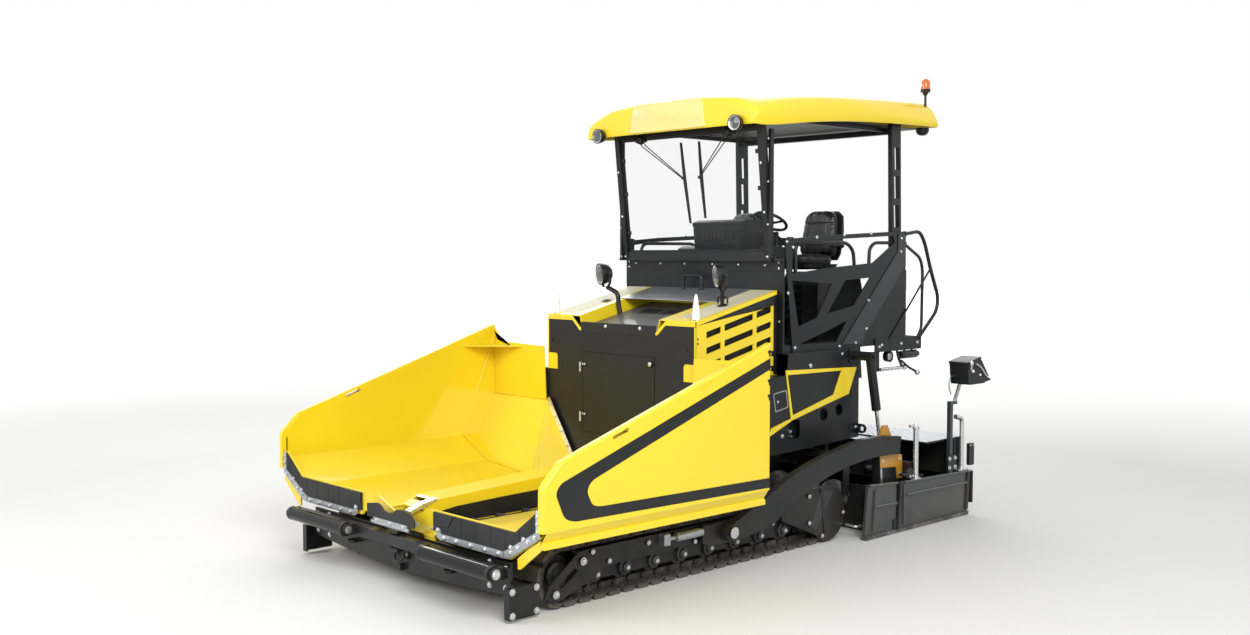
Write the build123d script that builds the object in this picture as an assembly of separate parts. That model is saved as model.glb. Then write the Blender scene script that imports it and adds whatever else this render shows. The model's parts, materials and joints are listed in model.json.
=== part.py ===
"""Tracked asphalt paver with an extending screed.

Millimetres, +Z up, +X towards the hopper, +Y to the machine's left. While it is modelled, X = 0 is the
middle of the tracks' contact with the ground and Z = 0 is the ground. The last step moves everything along X
so that the origin is the bottom centre of the whole machine.
"""

import os
from math import atan, cos, degrees, pi, sin

from build123d import *

# ---------------------------------------------------------------- driving dimensions
GAP = 5.0  # free space kept between pieces that move past each other
FIT = 0.05  # radial clearance of a pin in its bore

# tracks
TRACK_Y = 1115.0  # middle of a track from the machine's middle
SHOE_WIDTH = 300.0
TRACK_HALF_BASE = 1340.0  # idler and sprocket centres, front and rear
TRACK_RADIUS = 215.0  # over the shoes, at idler and sprocket
SHOE_HEIGHT = 42.0
SHOE_COUNT = 48
SHOE_GAP = 9.0
CHAIN_HEIGHT = 40.0
ROLLER_RADIUS = 82.0
ROLLER_COUNT = 8
ROLLER_PITCH = 287.0
CHEEK_THICKNESS = 30.0
CHEEK_GAP = 100.0  # between the two cheeks, where the rollers run
GUARD_THICKNESS = 15.0
GUARD_STANDOFF = 10.0  # guard plate to shoe ends

# frame and conveyors
GIRDER_IN = 440.0
GIRDER_OUT = 520.0
FRAME_FRONT = 1700.0
FRAME_LOW = 150.0
FRAME_HOPPER_TOP = 395.0
FRAME_BODY_TOP = 700.0
TUNNEL_FLOOR = 300.0
BED_TOP = 405.0
BED_FRONT = 1600.0
BED_REAR = -1600.0
KEEL_HALF = 60.0
SLAT_PITCH = 250.0
GUARD_HALF = 135.0  # chain guard between the two conveyors, half width

# hopper wings
HINGE_Y = 446.0
HINGE_Z = 440.0
HINGE_PIN = 15.0
KNUCKLE = 26.0
HINGE_LUGS = (-180, 420, 1020, 1580)  # rear face of each lug on the frame
LUG_LENGTH = 30.0
WING_REAR = -308.0
WING_FRONT = 1840.0
WING_OUT = 1670.0
WING_SKIN = 10.0
CLAD_DEPTH = 50.0
CLAD_ROUND = 18.0  # rounding of the cladding's outer rim
WING_SLOTS = (390.0, 1185.0)  # middle of each slot under the wing's top edge
SLOT_LENGTH = 150.0
SLOT_WIDTH = 26.0
SLOT_DROP = 34.0  # slot's middle line under the top edge
WING_PEAK = 1716.0
FLOOR_IN_Z = 470.0
FLOOR_OUT_Y = 1250.0
FLOOR_OUT_Z = 550.0
WALL_FOOT_Z = 730.0
MAIN_FACE_LOW = 640.0
LIP_LOW = 530.0
FLAP_TOP = 600.0
BACK_FOLD_Z = 1085.0
BACK_FOOT_X = 60.0

# hood and body
HOOD_FRONT = -335.0
HOOD_REAR = -1310.0
HOOD_HALF = 886.0
HOOD_FRONT_TOP = 1834.0
HOOD_REAR_TOP = 2060.0
SHEET = 8.0
BODY_HALF = 1000.0
BODY_REAR = -2290.0
LEDGE_Z = 1360.0
DECK_Z = 1540.0
DECK_THICKNESS = 60.0
DECK_REAR = -3080.0
DOOR_HALF = 440.0
DOOR_LOW = 850.0
DOOR_TOP = 1535.0
DOOR_AXIS = (HOOD_FRONT + 8.6, -DOOR_HALF - 14)  # x, y of the door's hinges
DOOR_HINGES = (DOOR_LOW + 130, DOOR_TOP - 130)

# operator's stand and canopy
STAND_HALF = 950.0
POST_FRONT_X = -1245.0
ROOF_Z = 3440.0
ROOF_FRONT = -905.0
ROOF_REAR = -3400.0
ROOF_HALF = 1060.0
TUBE = 15.0  # radius of a hand rail
WHEEL_RADIUS = 120.0  # steering wheel, to the middle of its rim
PANEL = 12.0  # thickness of the stand's side panels and of the landing's brackets
BRACKET_LOW = 1478.0
BRACKET_TOP = 1598.0

# front end
PUSH_AXIS_X = 1933.0
PUSH_AXIS_Z = 342.0
PUSH_RADIUS = 52.0
PUSH_IN = 480.0
PUSH_OUT = 1290.0
BEAM_PIVOT_X = 1815.0
LASHING_BORE = 22.0
LASHING_PLATE = 20.0
LASHING_HALF = 40.0  # half width of an eye plate
LASHING_FRONT = (1800.0, 620.0, 215.0)
LASHING_REAR = (-2270.0, 1055.0, 838.0)

# screed, tow arms and augers
ARM_IN = 1350.0
ARM_OUT = 1410.0
TOW_X = -190.0
TOW_Z = 300.0
TOW_PIN = 30.0
SOLE_Z = 4.0
BASE_FRONT = -1990.0
BASE_REAR = -2620.0
BASE_HALF = 1270.0
BASE_TOP = 400.0
EXT_FRONT = -2640.0
EXT_REAR = -3280.0
EXT_OUT = 1425.0
EXT_TOP = 380.0
GATE_IN = 1440.0
GATE_THICKNESS = 25.0
GATE_FRONT = -1750.0
GATE_REAR = -3355.0
GUIDE_RADIUS = 25.0
GUIDE_Z = 520.0
GUIDE_LEFT_X = -2490.0
GUIDE_RIGHT_X = -2572.0
BEARING_HALF = 40.0
AUGER_X = -1822.0
AUGER_Z = 300.0
AUGER_RADIUS = 150.0
AUGER_SHAFT = 32.0
AUGER_IN = 95.0
AUGER_OUT = 1180.0
AUGER_PITCH = 300.0

# hydraulic cylinders: pins, eyes and pin centres
CYLINDER_PIN = 16.0
ROD_RADIUS = 18.0
EYE_HALF = 42.0
WING_CYLINDER_X = 1632.0
WING_CYLINDER_LOW = (560.0, 205.0)  # y, z of the pin on the frame
WING_CYLINDER_HIGH = (1140.0, 472.0)  # y, z of the pin under the wing
WING_EYE_ROOM = 11.5  # free room round the wing's pin in the rod's eye
LIFT_EYE_ROOM = 4.5  # the same round the screed's pin
LIFT_Y = 1180.0
LIFT_LOW = (-2390.0, 600.0)  # x, z of the pin on the screed
LIFT_HIGH = (-2200.0, 1480.0)  # x, z of the pin on the body
LIFT_BARREL = 480.0

nodes = {}


# ---------------------------------------------------------------- helpers
def block(x0, x1, y0, y1, z0, z1):
    """A box between two opposite corners."""
    middle = Pos((x0 + x1) / 2, (y0 + y1) / 2, (z0 + z1) / 2)
    return middle * Box(abs(x1 - x0), abs(y1 - y0), abs(z1 - z0))


def side_plate(points, y0, y1, radius=0.0):
    """A plate whose outline is given as (x, z), from y0 to y1."""
    outline = Polygon(*points, align=None)
    if radius:
        outline = fillet(outline.vertices(), radius)
    return Pos(0, y0, 0) * extrude(Plane.XZ * outline, amount=y1 - y0, dir=(0, 1, 0))


def cross_plate(points, x0, x1):
    """A plate whose outline is given as (y, z), from x0 to x1."""
    return Pos(x0, 0, 0) * extrude(Plane.YZ * Polygon(*points, align=None), amount=x1 - x0, dir=(1, 0, 0))


def flat_plate(points, z0, z1, radius=0.0):
    """A plate whose outline is given as (x, y), from z0 to z1."""
    outline = Polygon(*points, align=None)
    if radius:
        outline = fillet(outline.vertices(), radius)
    return Pos(0, 0, z0) * extrude(outline, amount=z1 - z0, dir=(0, 0, 1))


def rod(start, end, radius):
    """A round bar between two points."""
    line = Vector(*end) - Vector(*start)
    plane = Plane(origin=Vector(*start), z_dir=line)
    return extrude(plane * Circle(radius), amount=line.length)


def tube(start, end, radius, bore):
    """A round bar with a bore right through it."""
    return rod(start, end, radius) - rod(start, end, bore)


def mitred_rail(points, radius):
    """A round rail of straight runs with mitred corners."""
    path = Polyline(*points)
    section = Plane(origin=path @ 0, z_dir=path % 0) * Circle(radius)
    return sweep(section, path=path, transition=Transition.RIGHT)


def facet(corners, thickness):
    """A flat plate on three or four corners, thickened along its normal."""
    face = Face(Wire.make_polygon([Vector(*corner) for corner in corners]))
    return extrude(face, amount=thickness)


def mirrored(shape):
    """The same piece on the machine's right."""
    return mirror(shape, about=Plane.XZ)


def solids_of(shape):
    """The solids of a shape or of a list of shapes."""
    if isinstance(shape, (list, tuple)):
        return [solid for item in shape for solid in solids_of(item)]
    return list(shape.solids())


def keep(name, *shapes):
    """File the solids of these shapes under one node name."""
    nodes[name] = solids_of(list(shapes))


def keep_both(name, *shapes):
    """File left-hand pieces and their mirror images under one node name."""
    keep(name, *shapes, *[mirrored(shape) for shape in shapes])


def keep_pair(name, *shapes):
    """File left-hand pieces and their mirror images under two node names."""
    keep(name + "_left", *shapes)
    keep(name + "_right", *[mirrored(shape) for shape in shapes])


# ---------------------------------------------------------------- tracks
def loop_point(distance, radius):
    """Point and heading on a track's loop, at a distance along it from the front of the ground run."""
    run = 2 * TRACK_HALF_BASE
    arc = pi * radius
    distance = distance % (2 * run + 2 * arc)
    if distance < run:
        return TRACK_HALF_BASE - distance, TRACK_RADIUS - radius, 180.0
    distance -= run
    if distance < arc:
        turn = distance / radius
        x = -TRACK_HALF_BASE - radius * sin(turn)
        return x, TRACK_RADIUS - radius * cos(turn), 180.0 - degrees(turn)
    distance -= arc
    if distance < run:
        return -TRACK_HALF_BASE + distance, TRACK_RADIUS + radius, 0.0
    turn = (distance - run) / radius
    return TRACK_HALF_BASE + radius * sin(turn), TRACK_RADIUS + radius * cos(turn), -degrees(turn)


def track():
    """One closed loop: a chain band with separate shoes fused to its outside."""
    middle = TRACK_RADIUS - SHOE_HEIGHT / 2
    pitch = (4 * TRACK_HALF_BASE + 2 * pi * middle) / SHOE_COUNT
    shoes = Sketch()
    for index in range(SHOE_COUNT):
        x, z, heading = loop_point((index + 0.5) * pitch, middle)
        shoes += Pos(x, z) * Rot(0, 0, heading) * Rectangle(pitch - SHOE_GAP, SHOE_HEIGHT + 8)
    shoes &= loop_slot(TRACK_RADIUS)
    band = loop_slot(TRACK_RADIUS - SHOE_HEIGHT + 6)
    outline = shoes + band - loop_slot(TRACK_RADIUS - SHOE_HEIGHT - CHAIN_HEIGHT)
    loop = extrude(Plane.XZ * outline, amount=SHOE_WIDTH, dir=(0, 1, 0))
    return Pos(0, TRACK_Y - SHOE_WIDTH / 2, 0) * loop


def loop_slot(radius):
    """The area inside a track's loop at one radius."""
    return Pos(0, TRACK_RADIUS) * SlotCenterToCenter(2 * TRACK_HALF_BASE, 2 * radius)


CHEEK_IN = TRACK_Y - CHEEK_GAP / 2 - CHEEK_THICKNESS
CHEEK_OUT = TRACK_Y + CHEEK_GAP / 2 + CHEEK_THICKNESS
GUARD_IN = TRACK_Y + SHOE_WIDTH / 2 + GUARD_STANDOFF
GUARD_OUT = GUARD_IN + GUARD_THICKNESS
CHAIN_TOP = SHOE_HEIGHT + CHAIN_HEIGHT


def track_frame():
    """Two cheeks tied by a top plate, with bosses that carry the guards."""
    profile = [
        (-TRACK_HALF_BASE - 60, 180),
        (-1150, 180),
        (-1100, 120),
        (1100, 120),
        (1150, 180),
        (TRACK_HALF_BASE + 60, 180),
        (TRACK_HALF_BASE + 60, 250),
        (1150, 262),
        (1100, 330),
        (-1100, 330),
        (-1150, 262),
        (-TRACK_HALF_BASE - 60, 250),
    ]
    frame = side_plate(profile, CHEEK_IN, CHEEK_IN + CHEEK_THICKNESS)
    frame += side_plate(profile, CHEEK_OUT - CHEEK_THICKNESS, CHEEK_OUT)
    frame += block(-1100, 1100, CHEEK_IN, CHEEK_OUT, 300, 330)
    for x, z in [(1173, 290), (250, 290), (-1000, 290), (-TRACK_HALF_BASE, TRACK_RADIUS)]:
        frame += rod((x, CHEEK_OUT - 1, z), (x, GUARD_IN, z), 30)
    for x in (860, -860):
        frame += block(x - 50, x + 50, GIRDER_OUT, CHEEK_IN + 1, 190, 300)
    return frame


def track_wheels():
    """Rollers, idler and sprocket, seated between the cheeks."""
    inner = CHEEK_IN + CHEEK_THICKNESS
    outer = CHEEK_OUT - CHEEK_THICKNESS
    wheels = []
    for index in range(ROLLER_COUNT):
        x = (index - (ROLLER_COUNT - 1) / 2) * ROLLER_PITCH
        z = CHAIN_TOP + ROLLER_RADIUS
        wheels.append(rod((x, inner, z), (x, outer, z), ROLLER_RADIUS))
    end_radius = TRACK_RADIUS - CHAIN_TOP
    for x in (-TRACK_HALF_BASE, TRACK_HALF_BASE):
        wheels.append(rod((x, inner, TRACK_RADIUS), (x, outer, TRACK_RADIUS), end_radius - 1))
    return wheels


def track_guard():
    """Long plate outside the track, with a shaped nose over the idler."""
    outline = [
        (1520, 90),
        (1480, 175),
        (1215, 365),
        (1120, 372),
        (-80, 372),
        (-80, 245),
        (1010, 228),
        (1075, 165),
        (1290, 95),
        (1400, 60),
    ]
    guard = side_plate(outline, GUARD_IN, GUARD_OUT)
    window = [(1400, 165), (1255, 262), (1225, 235), (1370, 140)]
    return guard - side_plate(window, GUARD_IN - 1, GUARD_OUT + 1)


def sprocket_cover():
    """Rounded plate over the sprocket, folded along a slanting line."""
    disc = Pos(-1490, 240) * Circle(222)
    front = Polygon((-1490, 462), (-1100, 462), (-900, 330), (-900, 262), (-1490, 18), align=None)
    plate = Pos(0, GUARD_IN, 0) * extrude(Plane.XZ * (disc + front), amount=GUARD_THICKNESS, dir=(0, 1, 0))
    rib = side_plate([(-1415, 462), (-1375, 462), (-1440, 60), (-1480, 60)], GUARD_OUT, GUARD_OUT + 8)
    return plate + rib


# ---------------------------------------------------------------- main frame, conveyors, front end
def main_frame():
    """Two side girders with the tunnel floor, cross members and the hinge lugs of the wings."""
    profile = [
        (FRAME_FRONT, FRAME_LOW),
        (FRAME_FRONT, FRAME_HOPPER_TOP),
        (HOOD_FRONT - 14, FRAME_HOPPER_TOP),
        (HOOD_FRONT - 14, FRAME_BODY_TOP),
        (BODY_REAR + 40, FRAME_BODY_TOP + 66),
        (BODY_REAR + 40, FRAME_BODY_TOP + 35),
        (-1900, FRAME_BODY_TOP - 40),
        (-1640, 420),
        (-1640, FRAME_LOW),
    ]
    frame = side_plate(profile, GIRDER_IN, GIRDER_OUT)
    frame += mirrored(frame)
    frame += block(-1640, FRAME_FRONT, -GIRDER_IN - 1, GIRDER_IN + 1, TUNNEL_FLOOR, TUNNEL_FLOOR + 12)
    frame += block(
        FRAME_FRONT - 80, FRAME_FRONT, -GIRDER_IN - 1, GIRDER_IN + 1, FRAME_LOW, TUNNEL_FLOOR + 1,
    )
    frame += block(-1640, -1560, -GIRDER_IN - 1, GIRDER_IN + 1, FRAME_LOW, TUNNEL_FLOOR + 1)
    return frame


def wing_hinge():
    """Lugs on the girder with the long pin that a wing turns on."""
    hinge = rod(
        (HINGE_LUGS[0] - 10, HINGE_Y, HINGE_Z), (HINGE_LUGS[-1] + LUG_LENGTH + 10, HINGE_Y, HINGE_Z),
        HINGE_PIN,
    )
    for x in HINGE_LUGS:
        hinge += block(x, x + LUG_LENGTH, GIRDER_IN, HINGE_Y + KNUCKLE, FRAME_HOPPER_TOP, HINGE_Z)
        hinge += rod((x, HINGE_Y, HINGE_Z), (x + LUG_LENGTH, HINGE_Y, HINGE_Z), KNUCKLE)
    return hinge


def wing_cylinder_foot():
    """Two plates on the girder with the pin of the wing cylinder's barrel."""
    y, z = WING_CYLINDER_LOW
    foot = rod(
        (WING_CYLINDER_X - EYE_HALF - 12, y, z), (WING_CYLINDER_X + EYE_HALF + 12, y, z), CYLINDER_PIN,
    )
    for x in (WING_CYLINDER_X - EYE_HALF - 22, WING_CYLINDER_X + EYE_HALF + 2):
        foot += block(x, x + 20, GIRDER_OUT, y + 50, z - 40, z + 40)
    return foot


def conveyor_bed():
    """The two floor plates that the slats drag along and the keel between them."""
    plate = block(BED_REAR, BED_FRONT, KEEL_HALF + 2, GIRDER_IN, BED_TOP - 12, BED_TOP)
    keel = block(BED_REAR, BED_FRONT, -KEEL_HALF, KEEL_HALF, TUNNEL_FLOOR + 12, 530)
    return plate, mirrored(plate), keel


def conveyor_slats():
    """Drag bars of both conveyors, in line with two chain strands each."""
    bars = []
    count = int((BED_FRONT - BED_REAR - 200) / SLAT_PITCH)
    for index in range(count + 1):
        x = BED_REAR + 100 + index * SLAT_PITCH
        bar = block(x, x + 45, 145, 395, BED_TOP, BED_TOP + 22)
        bars += [bar, mirrored(bar)]
    return bars


def chain_guard():
    """Roof-shaped cover over the chains between the conveyors, with a sloping nose."""
    side = [
        (-325, BED_TOP), (-325, 668), (200, 664), (BED_FRONT - 60, 600), (BED_FRONT + 70, 545),
        (BED_FRONT + 70, 535), (BED_FRONT, BED_TOP),
    ]
    cap = side_plate(side, -GUARD_HALF, GUARD_HALF)
    return cap - block(-400, BED_FRONT, -GUARD_HALF + SHEET, GUARD_HALF - SHEET, 400, 590)


def nose_plate():
    """Yellow plate across the front of the conveyors, with its top edge dropping to the middle."""
    half = [(0, 372), (0, 500), (115, 505), (325, 590), (395, 590), (395, 372)]
    plate = cross_plate(half, FRAME_FRONT + 40, FRAME_FRONT + 55)
    return plate + mirrored(plate)


def lashing_eye(centre, root, axis):
    """Eye plate from its root to its rounded end, with a bore along axis."""
    along = Vector(*root) - Vector(*centre)
    plate = block(0, along.length, -LASHING_HALF, LASHING_HALF, -LASHING_PLATE / 2, LASHING_PLATE / 2)
    plate += Cylinder(LASHING_HALF, LASHING_PLATE)
    plate -= Cylinder(LASHING_BORE, 2 * LASHING_PLATE)
    return Plane(origin=centre, x_dir=along, z_dir=axis) * plate


def front_beam():
    """Bumper plate across the front, stiffened behind, and the pivot of the push beam."""
    x0 = FRAME_FRONT
    outline = [(-1240, 372), (-1240, 160), (-700, 118), (0, 88), (700, 118), (1240, 160), (1240, 372)]
    beam = cross_plate(outline, x0 + 40, x0 + 60)
    beam += block(x0, x0 + 41, -900, 900, 180, 360)
    beam += block(x0 + 59, BEAM_PIVOT_X + 35, -60, 60, 250, 272)
    beam += block(x0 + 59, BEAM_PIVOT_X + 35, -60, 60, 382, 402)
    beam += rod((BEAM_PIVOT_X, 0, 260), (BEAM_PIVOT_X, 0, 400), 18)
    x, y, z = LASHING_FRONT
    eye = lashing_eye((x, y, z), (x0 + 59, y, z), (0, 0, -1))
    return beam + eye + mirrored(eye)


def push_beam():
    """Swinging bar with the ears of the two push rollers."""
    low = 290
    high = 370
    outline = [
        (BEAM_PIVOT_X - 32, -70),
        (1838, -PUSH_OUT - 60),
        (1866, -PUSH_OUT - 60),
        (1866, PUSH_OUT + 60),
        (1838, PUSH_OUT + 60),
        (BEAM_PIVOT_X - 32, 70),
    ]
    beam = flat_plate(outline, low, high)
    beam -= rod((BEAM_PIVOT_X, 0, low - 1), (BEAM_PIVOT_X, 0, high + 1), 18 + FIT)
    for y in (PUSH_IN - 2 - 22, PUSH_OUT + 2):
        ear = block(1860, PUSH_AXIS_X, y, y + 22, PUSH_AXIS_Z - 40, PUSH_AXIS_Z + 40)
        ear += rod((PUSH_AXIS_X, y, PUSH_AXIS_Z), (PUSH_AXIS_X, y + 22, PUSH_AXIS_Z), 40)
        ear -= rod((PUSH_AXIS_X, y - 1, PUSH_AXIS_Z), (PUSH_AXIS_X, y + 23, PUSH_AXIS_Z), 18 + FIT)
        beam += ear
        beam += mirrored(ear)
    return beam


def push_roller():
    """Smooth roller with stub shafts that run in the beam's ears."""
    roller = rod((PUSH_AXIS_X, PUSH_IN, PUSH_AXIS_Z), (PUSH_AXIS_X, PUSH_OUT, PUSH_AXIS_Z), PUSH_RADIUS)
    return roller + rod(
        (PUSH_AXIS_X, PUSH_IN - 30, PUSH_AXIS_Z), (PUSH_AXIS_X, PUSH_OUT + 30, PUSH_AXIS_Z), 18,
    )


APRON_X = 1862.0
APRON_Z = 432.0


def apron_bracket():
    """Two arms from the bumper with the fixed pin of the front flap."""
    bracket = rod((APRON_X, -262, APRON_Z), (APRON_X, 262, APRON_Z), 8)
    for y in (-262, 248):
        bracket += side_plate([(FRAME_FRONT + 60, 405), (FRAME_FRONT + 60, 372), (1852, 405), (1872, 425),
                               (1872, 446), (1850, 446)], y, y + 14)
    return bracket


def front_flap():
    """Rubber flap with a wavy top edge, clamped to a steel bar that turns on the bracket's pin."""
    top = [
        (-240, 470), (-225, 515), (-150, 520), (-105, 478), (-35, 466), (20, 484), (120, 486), (160, 520),
        (225, 515), (240, 470),
    ]
    rubber = cross_plate([(-240, 436)] + top + [(240, 436)], APRON_X - 12, APRON_X)
    bar = block(APRON_X, APRON_X + 8, -215, 215, 436, 468)
    hub = tube((APRON_X, -240, APRON_Z), (APRON_X, 240, APRON_Z), 14, 8 + FIT)
    return rubber - rod((APRON_X, -300, APRON_Z), (APRON_X, 300, APRON_Z), 14), bar - rod(
        (APRON_X, -300, APRON_Z), (APRON_X, 300, APRON_Z), 14), hub


def front_shield():
    """Square bolted plate that hangs beside the front of the track on an angle from the bumper."""
    plate = block(1580, 1830, 1300, 1315, 22, 232)
    plate += block(1815, 1830, 1262, 1301, 22, 232)
    plate += block(FRAME_FRONT + 40, FRAME_FRONT + 60, 1240, 1301, 170, 232)
    return plate


# ---------------------------------------------------------------- hopper wings
def wing_outline(shrink=0.0):
    """The wing's side outline as (x, z): level lower edge and a top edge that rises to the rear."""
    s = shrink
    return [
        (WING_REAR + s, 400),
        (WING_REAR + s, WING_PEAK - 1.3 * s),
        (1690 - s, 1072 - s),
        (WING_FRONT - s, 925 - s),
        (WING_FRONT - s, 400),
    ]


def wing_shell():
    """Folded skin: floor, slope and wall, with the back wall, front plate and hinge knuckles."""
    wall_y = WING_OUT - CLAD_DEPTH
    skin = WING_SKIN
    top = [
        (HINGE_Y - KNUCKLE, FLOOR_IN_Z), (FLOOR_OUT_Y, FLOOR_OUT_Z), (wall_y - skin, WALL_FOOT_Z),
        (wall_y - skin, 1800),
    ]
    under = [
        (wall_y, 1800), (wall_y, WALL_FOOT_Z - 12), (FLOOR_OUT_Y + 4, FLOOR_OUT_Z - skin),
        (HINGE_Y - KNUCKLE, FLOOR_IN_Z - skin),
    ]
    folded = cross_plate(top + under, WING_REAR, WING_FRONT - 50)
    folded = folded & side_plate(wing_outline(12), 0, 2000)
    room = cross_plate(top + [(HINGE_Y - KNUCKLE, 1800)], WING_REAR, WING_FRONT)
    upright = cross_plate(
        [
            (wall_y - skin + 1, 1000), (wall_y - skin + 1, WING_PEAK - 30), (1500, 1566), (905, 1553),
            (880, BACK_FOLD_Z), (880, 1000),
        ],
        WING_REAR, WING_REAR + skin,
    )
    upright -= block(WING_REAR - 1, WING_REAR + skin + 1, 800, 1800, 900, BACK_FOLD_Z)
    slope_line = [
        (WING_REAR, BACK_FOLD_Z), (WING_REAR + skin, BACK_FOLD_Z), (BACK_FOOT_X + skin, 420),
        (BACK_FOOT_X, 420),
    ]
    leaning = side_plate(slope_line, 600, wall_y - skin + 1) & room
    cutter = cross_plate(
        [(500, 300), (600, 480), (880, BACK_FOLD_Z), (500, BACK_FOLD_Z)], WING_REAR - 50, 200,
    )
    leaning -= cutter
    side_face = facet([(WING_REAR, 880, BACK_FOLD_Z), (WING_REAR, 520, 545), (BACK_FOOT_X, 640, 500)], skin)
    shell = folded + upright + leaning
    front = cross_plate(
        [
            (455, 440), (455, FLAP_TOP + 8), (1360, FLAP_TOP + 8), (1600, 778), (1612, 778), (1612, 600),
            (1300, 415), (700, 415),
        ],
        WING_FRONT - 50, WING_FRONT - 34,
    )
    shell += front
    for x in HINGE_LUGS:
        room = (x - GAP, HINGE_Y, HINGE_Z), (x + LUG_LENGTH + GAP, HINGE_Y, HINGE_Z)
        shell -= rod(*room, KNUCKLE + GAP)
    for x, length in ((-140, 270), (460, 270), (1060, 270), (1440, 130)):
        shell += rod((x, HINGE_Y, HINGE_Z), (x + length, HINGE_Y, HINGE_Z), KNUCKLE)
    shell -= rod((-400, HINGE_Y, HINGE_Z), (1900, HINGE_Y, HINGE_Z), HINGE_PIN + FIT)
    y, z = WING_CYLINDER_HIGH
    for x in (WING_CYLINDER_X - EYE_HALF - 22, WING_CYLINDER_X + EYE_HALF + 2):
        shell += block(x, x + 20, y - 30, y + 30, z - 26, z + 90) & cross_plate(
            under + [(HINGE_Y, 300), (1700, 300)], 0, 2000,
        )
    shell += rod(
        (WING_CYLINDER_X - EYE_HALF - 12, y, z), (WING_CYLINDER_X + EYE_HALF + 12, y, z), CYLINDER_PIN,
    )
    shell -= wing_cladding()
    return shell - wing_slots(), side_face - shell


def wing_slots():
    """Cutters of the slots that follow the top edge of the wing."""
    rise = (WING_PEAK - 1072) / (1690 - WING_REAR)
    cutters = []
    for x in WING_SLOTS:
        place = Pos(x, 0, 1072 + (1690 - x) * rise - SLOT_DROP) * Rot(0, degrees(atan(rise)), 0)
        outline = Plane.XZ * SlotOverall(SLOT_LENGTH, SLOT_WIDTH)
        cutters.append(place * extrude(outline, amount=2000, dir=(0, 1, 0)))
    return cutters


def wing_cladding():
    """Outer pan of the wing: thick rounded edge, flat face, inward bevel and lower lip."""
    outline = Polygon(
        (WING_REAR, MAIN_FACE_LOW), (WING_REAR, WING_PEAK), (1690, 1072), (WING_FRONT, 925),
        (WING_FRONT, MAIN_FACE_LOW), align=None,
    )
    corners = [v for v in outline.vertices() if v.Y > 900 and v.X > 0]
    outline = fillet(corners, 90)
    pan = Pos(0, WING_OUT - CLAD_DEPTH, 0) * extrude(Plane.XZ * outline, amount=CLAD_DEPTH, dir=(0, 1, 0))
    pocket = [
        (WING_REAR + 30, MAIN_FACE_LOW - 1), (WING_REAR + 30, WING_PEAK - 60), (1650, 1040),
        (WING_FRONT - 40, 880), (WING_FRONT - 40, MAIN_FACE_LOW - 1),
    ]
    rim = [edge for edge in pan.faces().sort_by(Axis.Y)[-1].edges() if edge.center().Z > MAIN_FACE_LOW + 1]
    pan = fillet(rim, CLAD_ROUND)
    pan -= side_plate(pocket, WING_OUT - CLAD_DEPTH - 1, WING_OUT - SHEET)
    bevel = [
        (WING_OUT, MAIN_FACE_LOW + 1), (WING_OUT - 45, 575), (WING_OUT - 30, 560), (WING_OUT - 30, LIP_LOW),
        (WING_OUT - 75, LIP_LOW), (WING_OUT - 75, LIP_LOW + SHEET), (WING_OUT - 60, 560),
        (WING_OUT - 55, 575), (WING_OUT - 10, MAIN_FACE_LOW + 1),
    ]
    return pan + cross_plate(bevel, WING_REAR + 20, WING_FRONT - 34) - wing_slots()


def wing_flap():
    """Rubber curtain on the wing's front plate."""
    x0 = WING_FRONT - 34
    return cross_plate(
        [
            (462, 470), (462, FLAP_TOP), (1358, FLAP_TOP), (1585, 765), (1618, 765), (1618, 615),
            (1290, 452), (600, 452),
        ],
        x0, x0 + 12,
    )


def wing_strips():
    """Bolted steel strips that clamp the rubber curtain."""
    x0 = WING_FRONT - 22
    low = cross_plate(
        [(545, 418), (510, 440), (510, 500), (545, 500), (560, 462), (1240, 462), (1255, 418)], x0, x0 + 8,
    )
    slanted = cross_plate([(1262, 420), (1250, 460), (1585, 640), (1600, 590), (1310, 425)], x0, x0 + 8)
    upright = cross_plate([(1578, 592), (1578, 765), (1618, 765), (1618, 600)], x0, x0 + 8)
    return low, slanted + upright


def wing_seal():
    """Rubber lip along the inner edge of the wing's back wall, and the bar that clamps it."""
    fold, foot = (880, BACK_FOLD_Z), (520, 545)
    lip = [fold, foot, (foot[0] - 28, foot[1] + 18), (fold[0] - 28, fold[1] + 18)]
    clamp = [
        (y - 12, z + 8) for y, z in (fold, foot, (foot[0] - 14, foot[1] + 9), (fold[0] - 14, fold[1] + 9))
    ]
    return cross_plate(lip, WING_REAR - SHEET, WING_REAR), cross_plate(clamp, WING_REAR, WING_REAR + 6)


# ---------------------------------------------------------------- cylinders
def barrel(foot, eye, pin_axis, length, radius):
    """Barrel from the eye at foot towards the other pin, bored for its piston and its rod."""
    foot = Vector(*foot)
    along = (Vector(*eye) - foot).normalized()
    pin = Vector(*pin_axis)
    body = rod(foot - pin * EYE_HALF, foot + pin * EYE_HALF, radius)
    body += rod(foot, foot + along * length, radius)
    body -= rod(foot + along * (radius + 25), foot + along * (length - 40), radius - 10)
    body -= rod(foot + along * (length - 41), foot + along * (length + 1), ROD_RADIUS + FIT)
    return body - rod(foot - pin * 60, foot + pin * 60, CYLINDER_PIN + FIT)


def piston_rod(foot, eye, pin_axis, start, radius, room):
    """Rod with its piston, from start along the barrel to the eye with room round the other pin."""
    foot = Vector(*foot)
    eye = Vector(*eye)
    along = (eye - foot).normalized()
    pin = Vector(*pin_axis)
    shaft = rod(foot + along * start, eye - along * 10, ROD_RADIUS)
    shaft += rod(foot + along * start, foot + along * (start + 30), radius - 10 - FIT)
    shaft += rod(eye - pin * EYE_HALF, eye + pin * EYE_HALF, CYLINDER_PIN + room + 10)
    return shaft - rod(eye - pin * 60, eye + pin * 60, CYLINDER_PIN + room)


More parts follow.
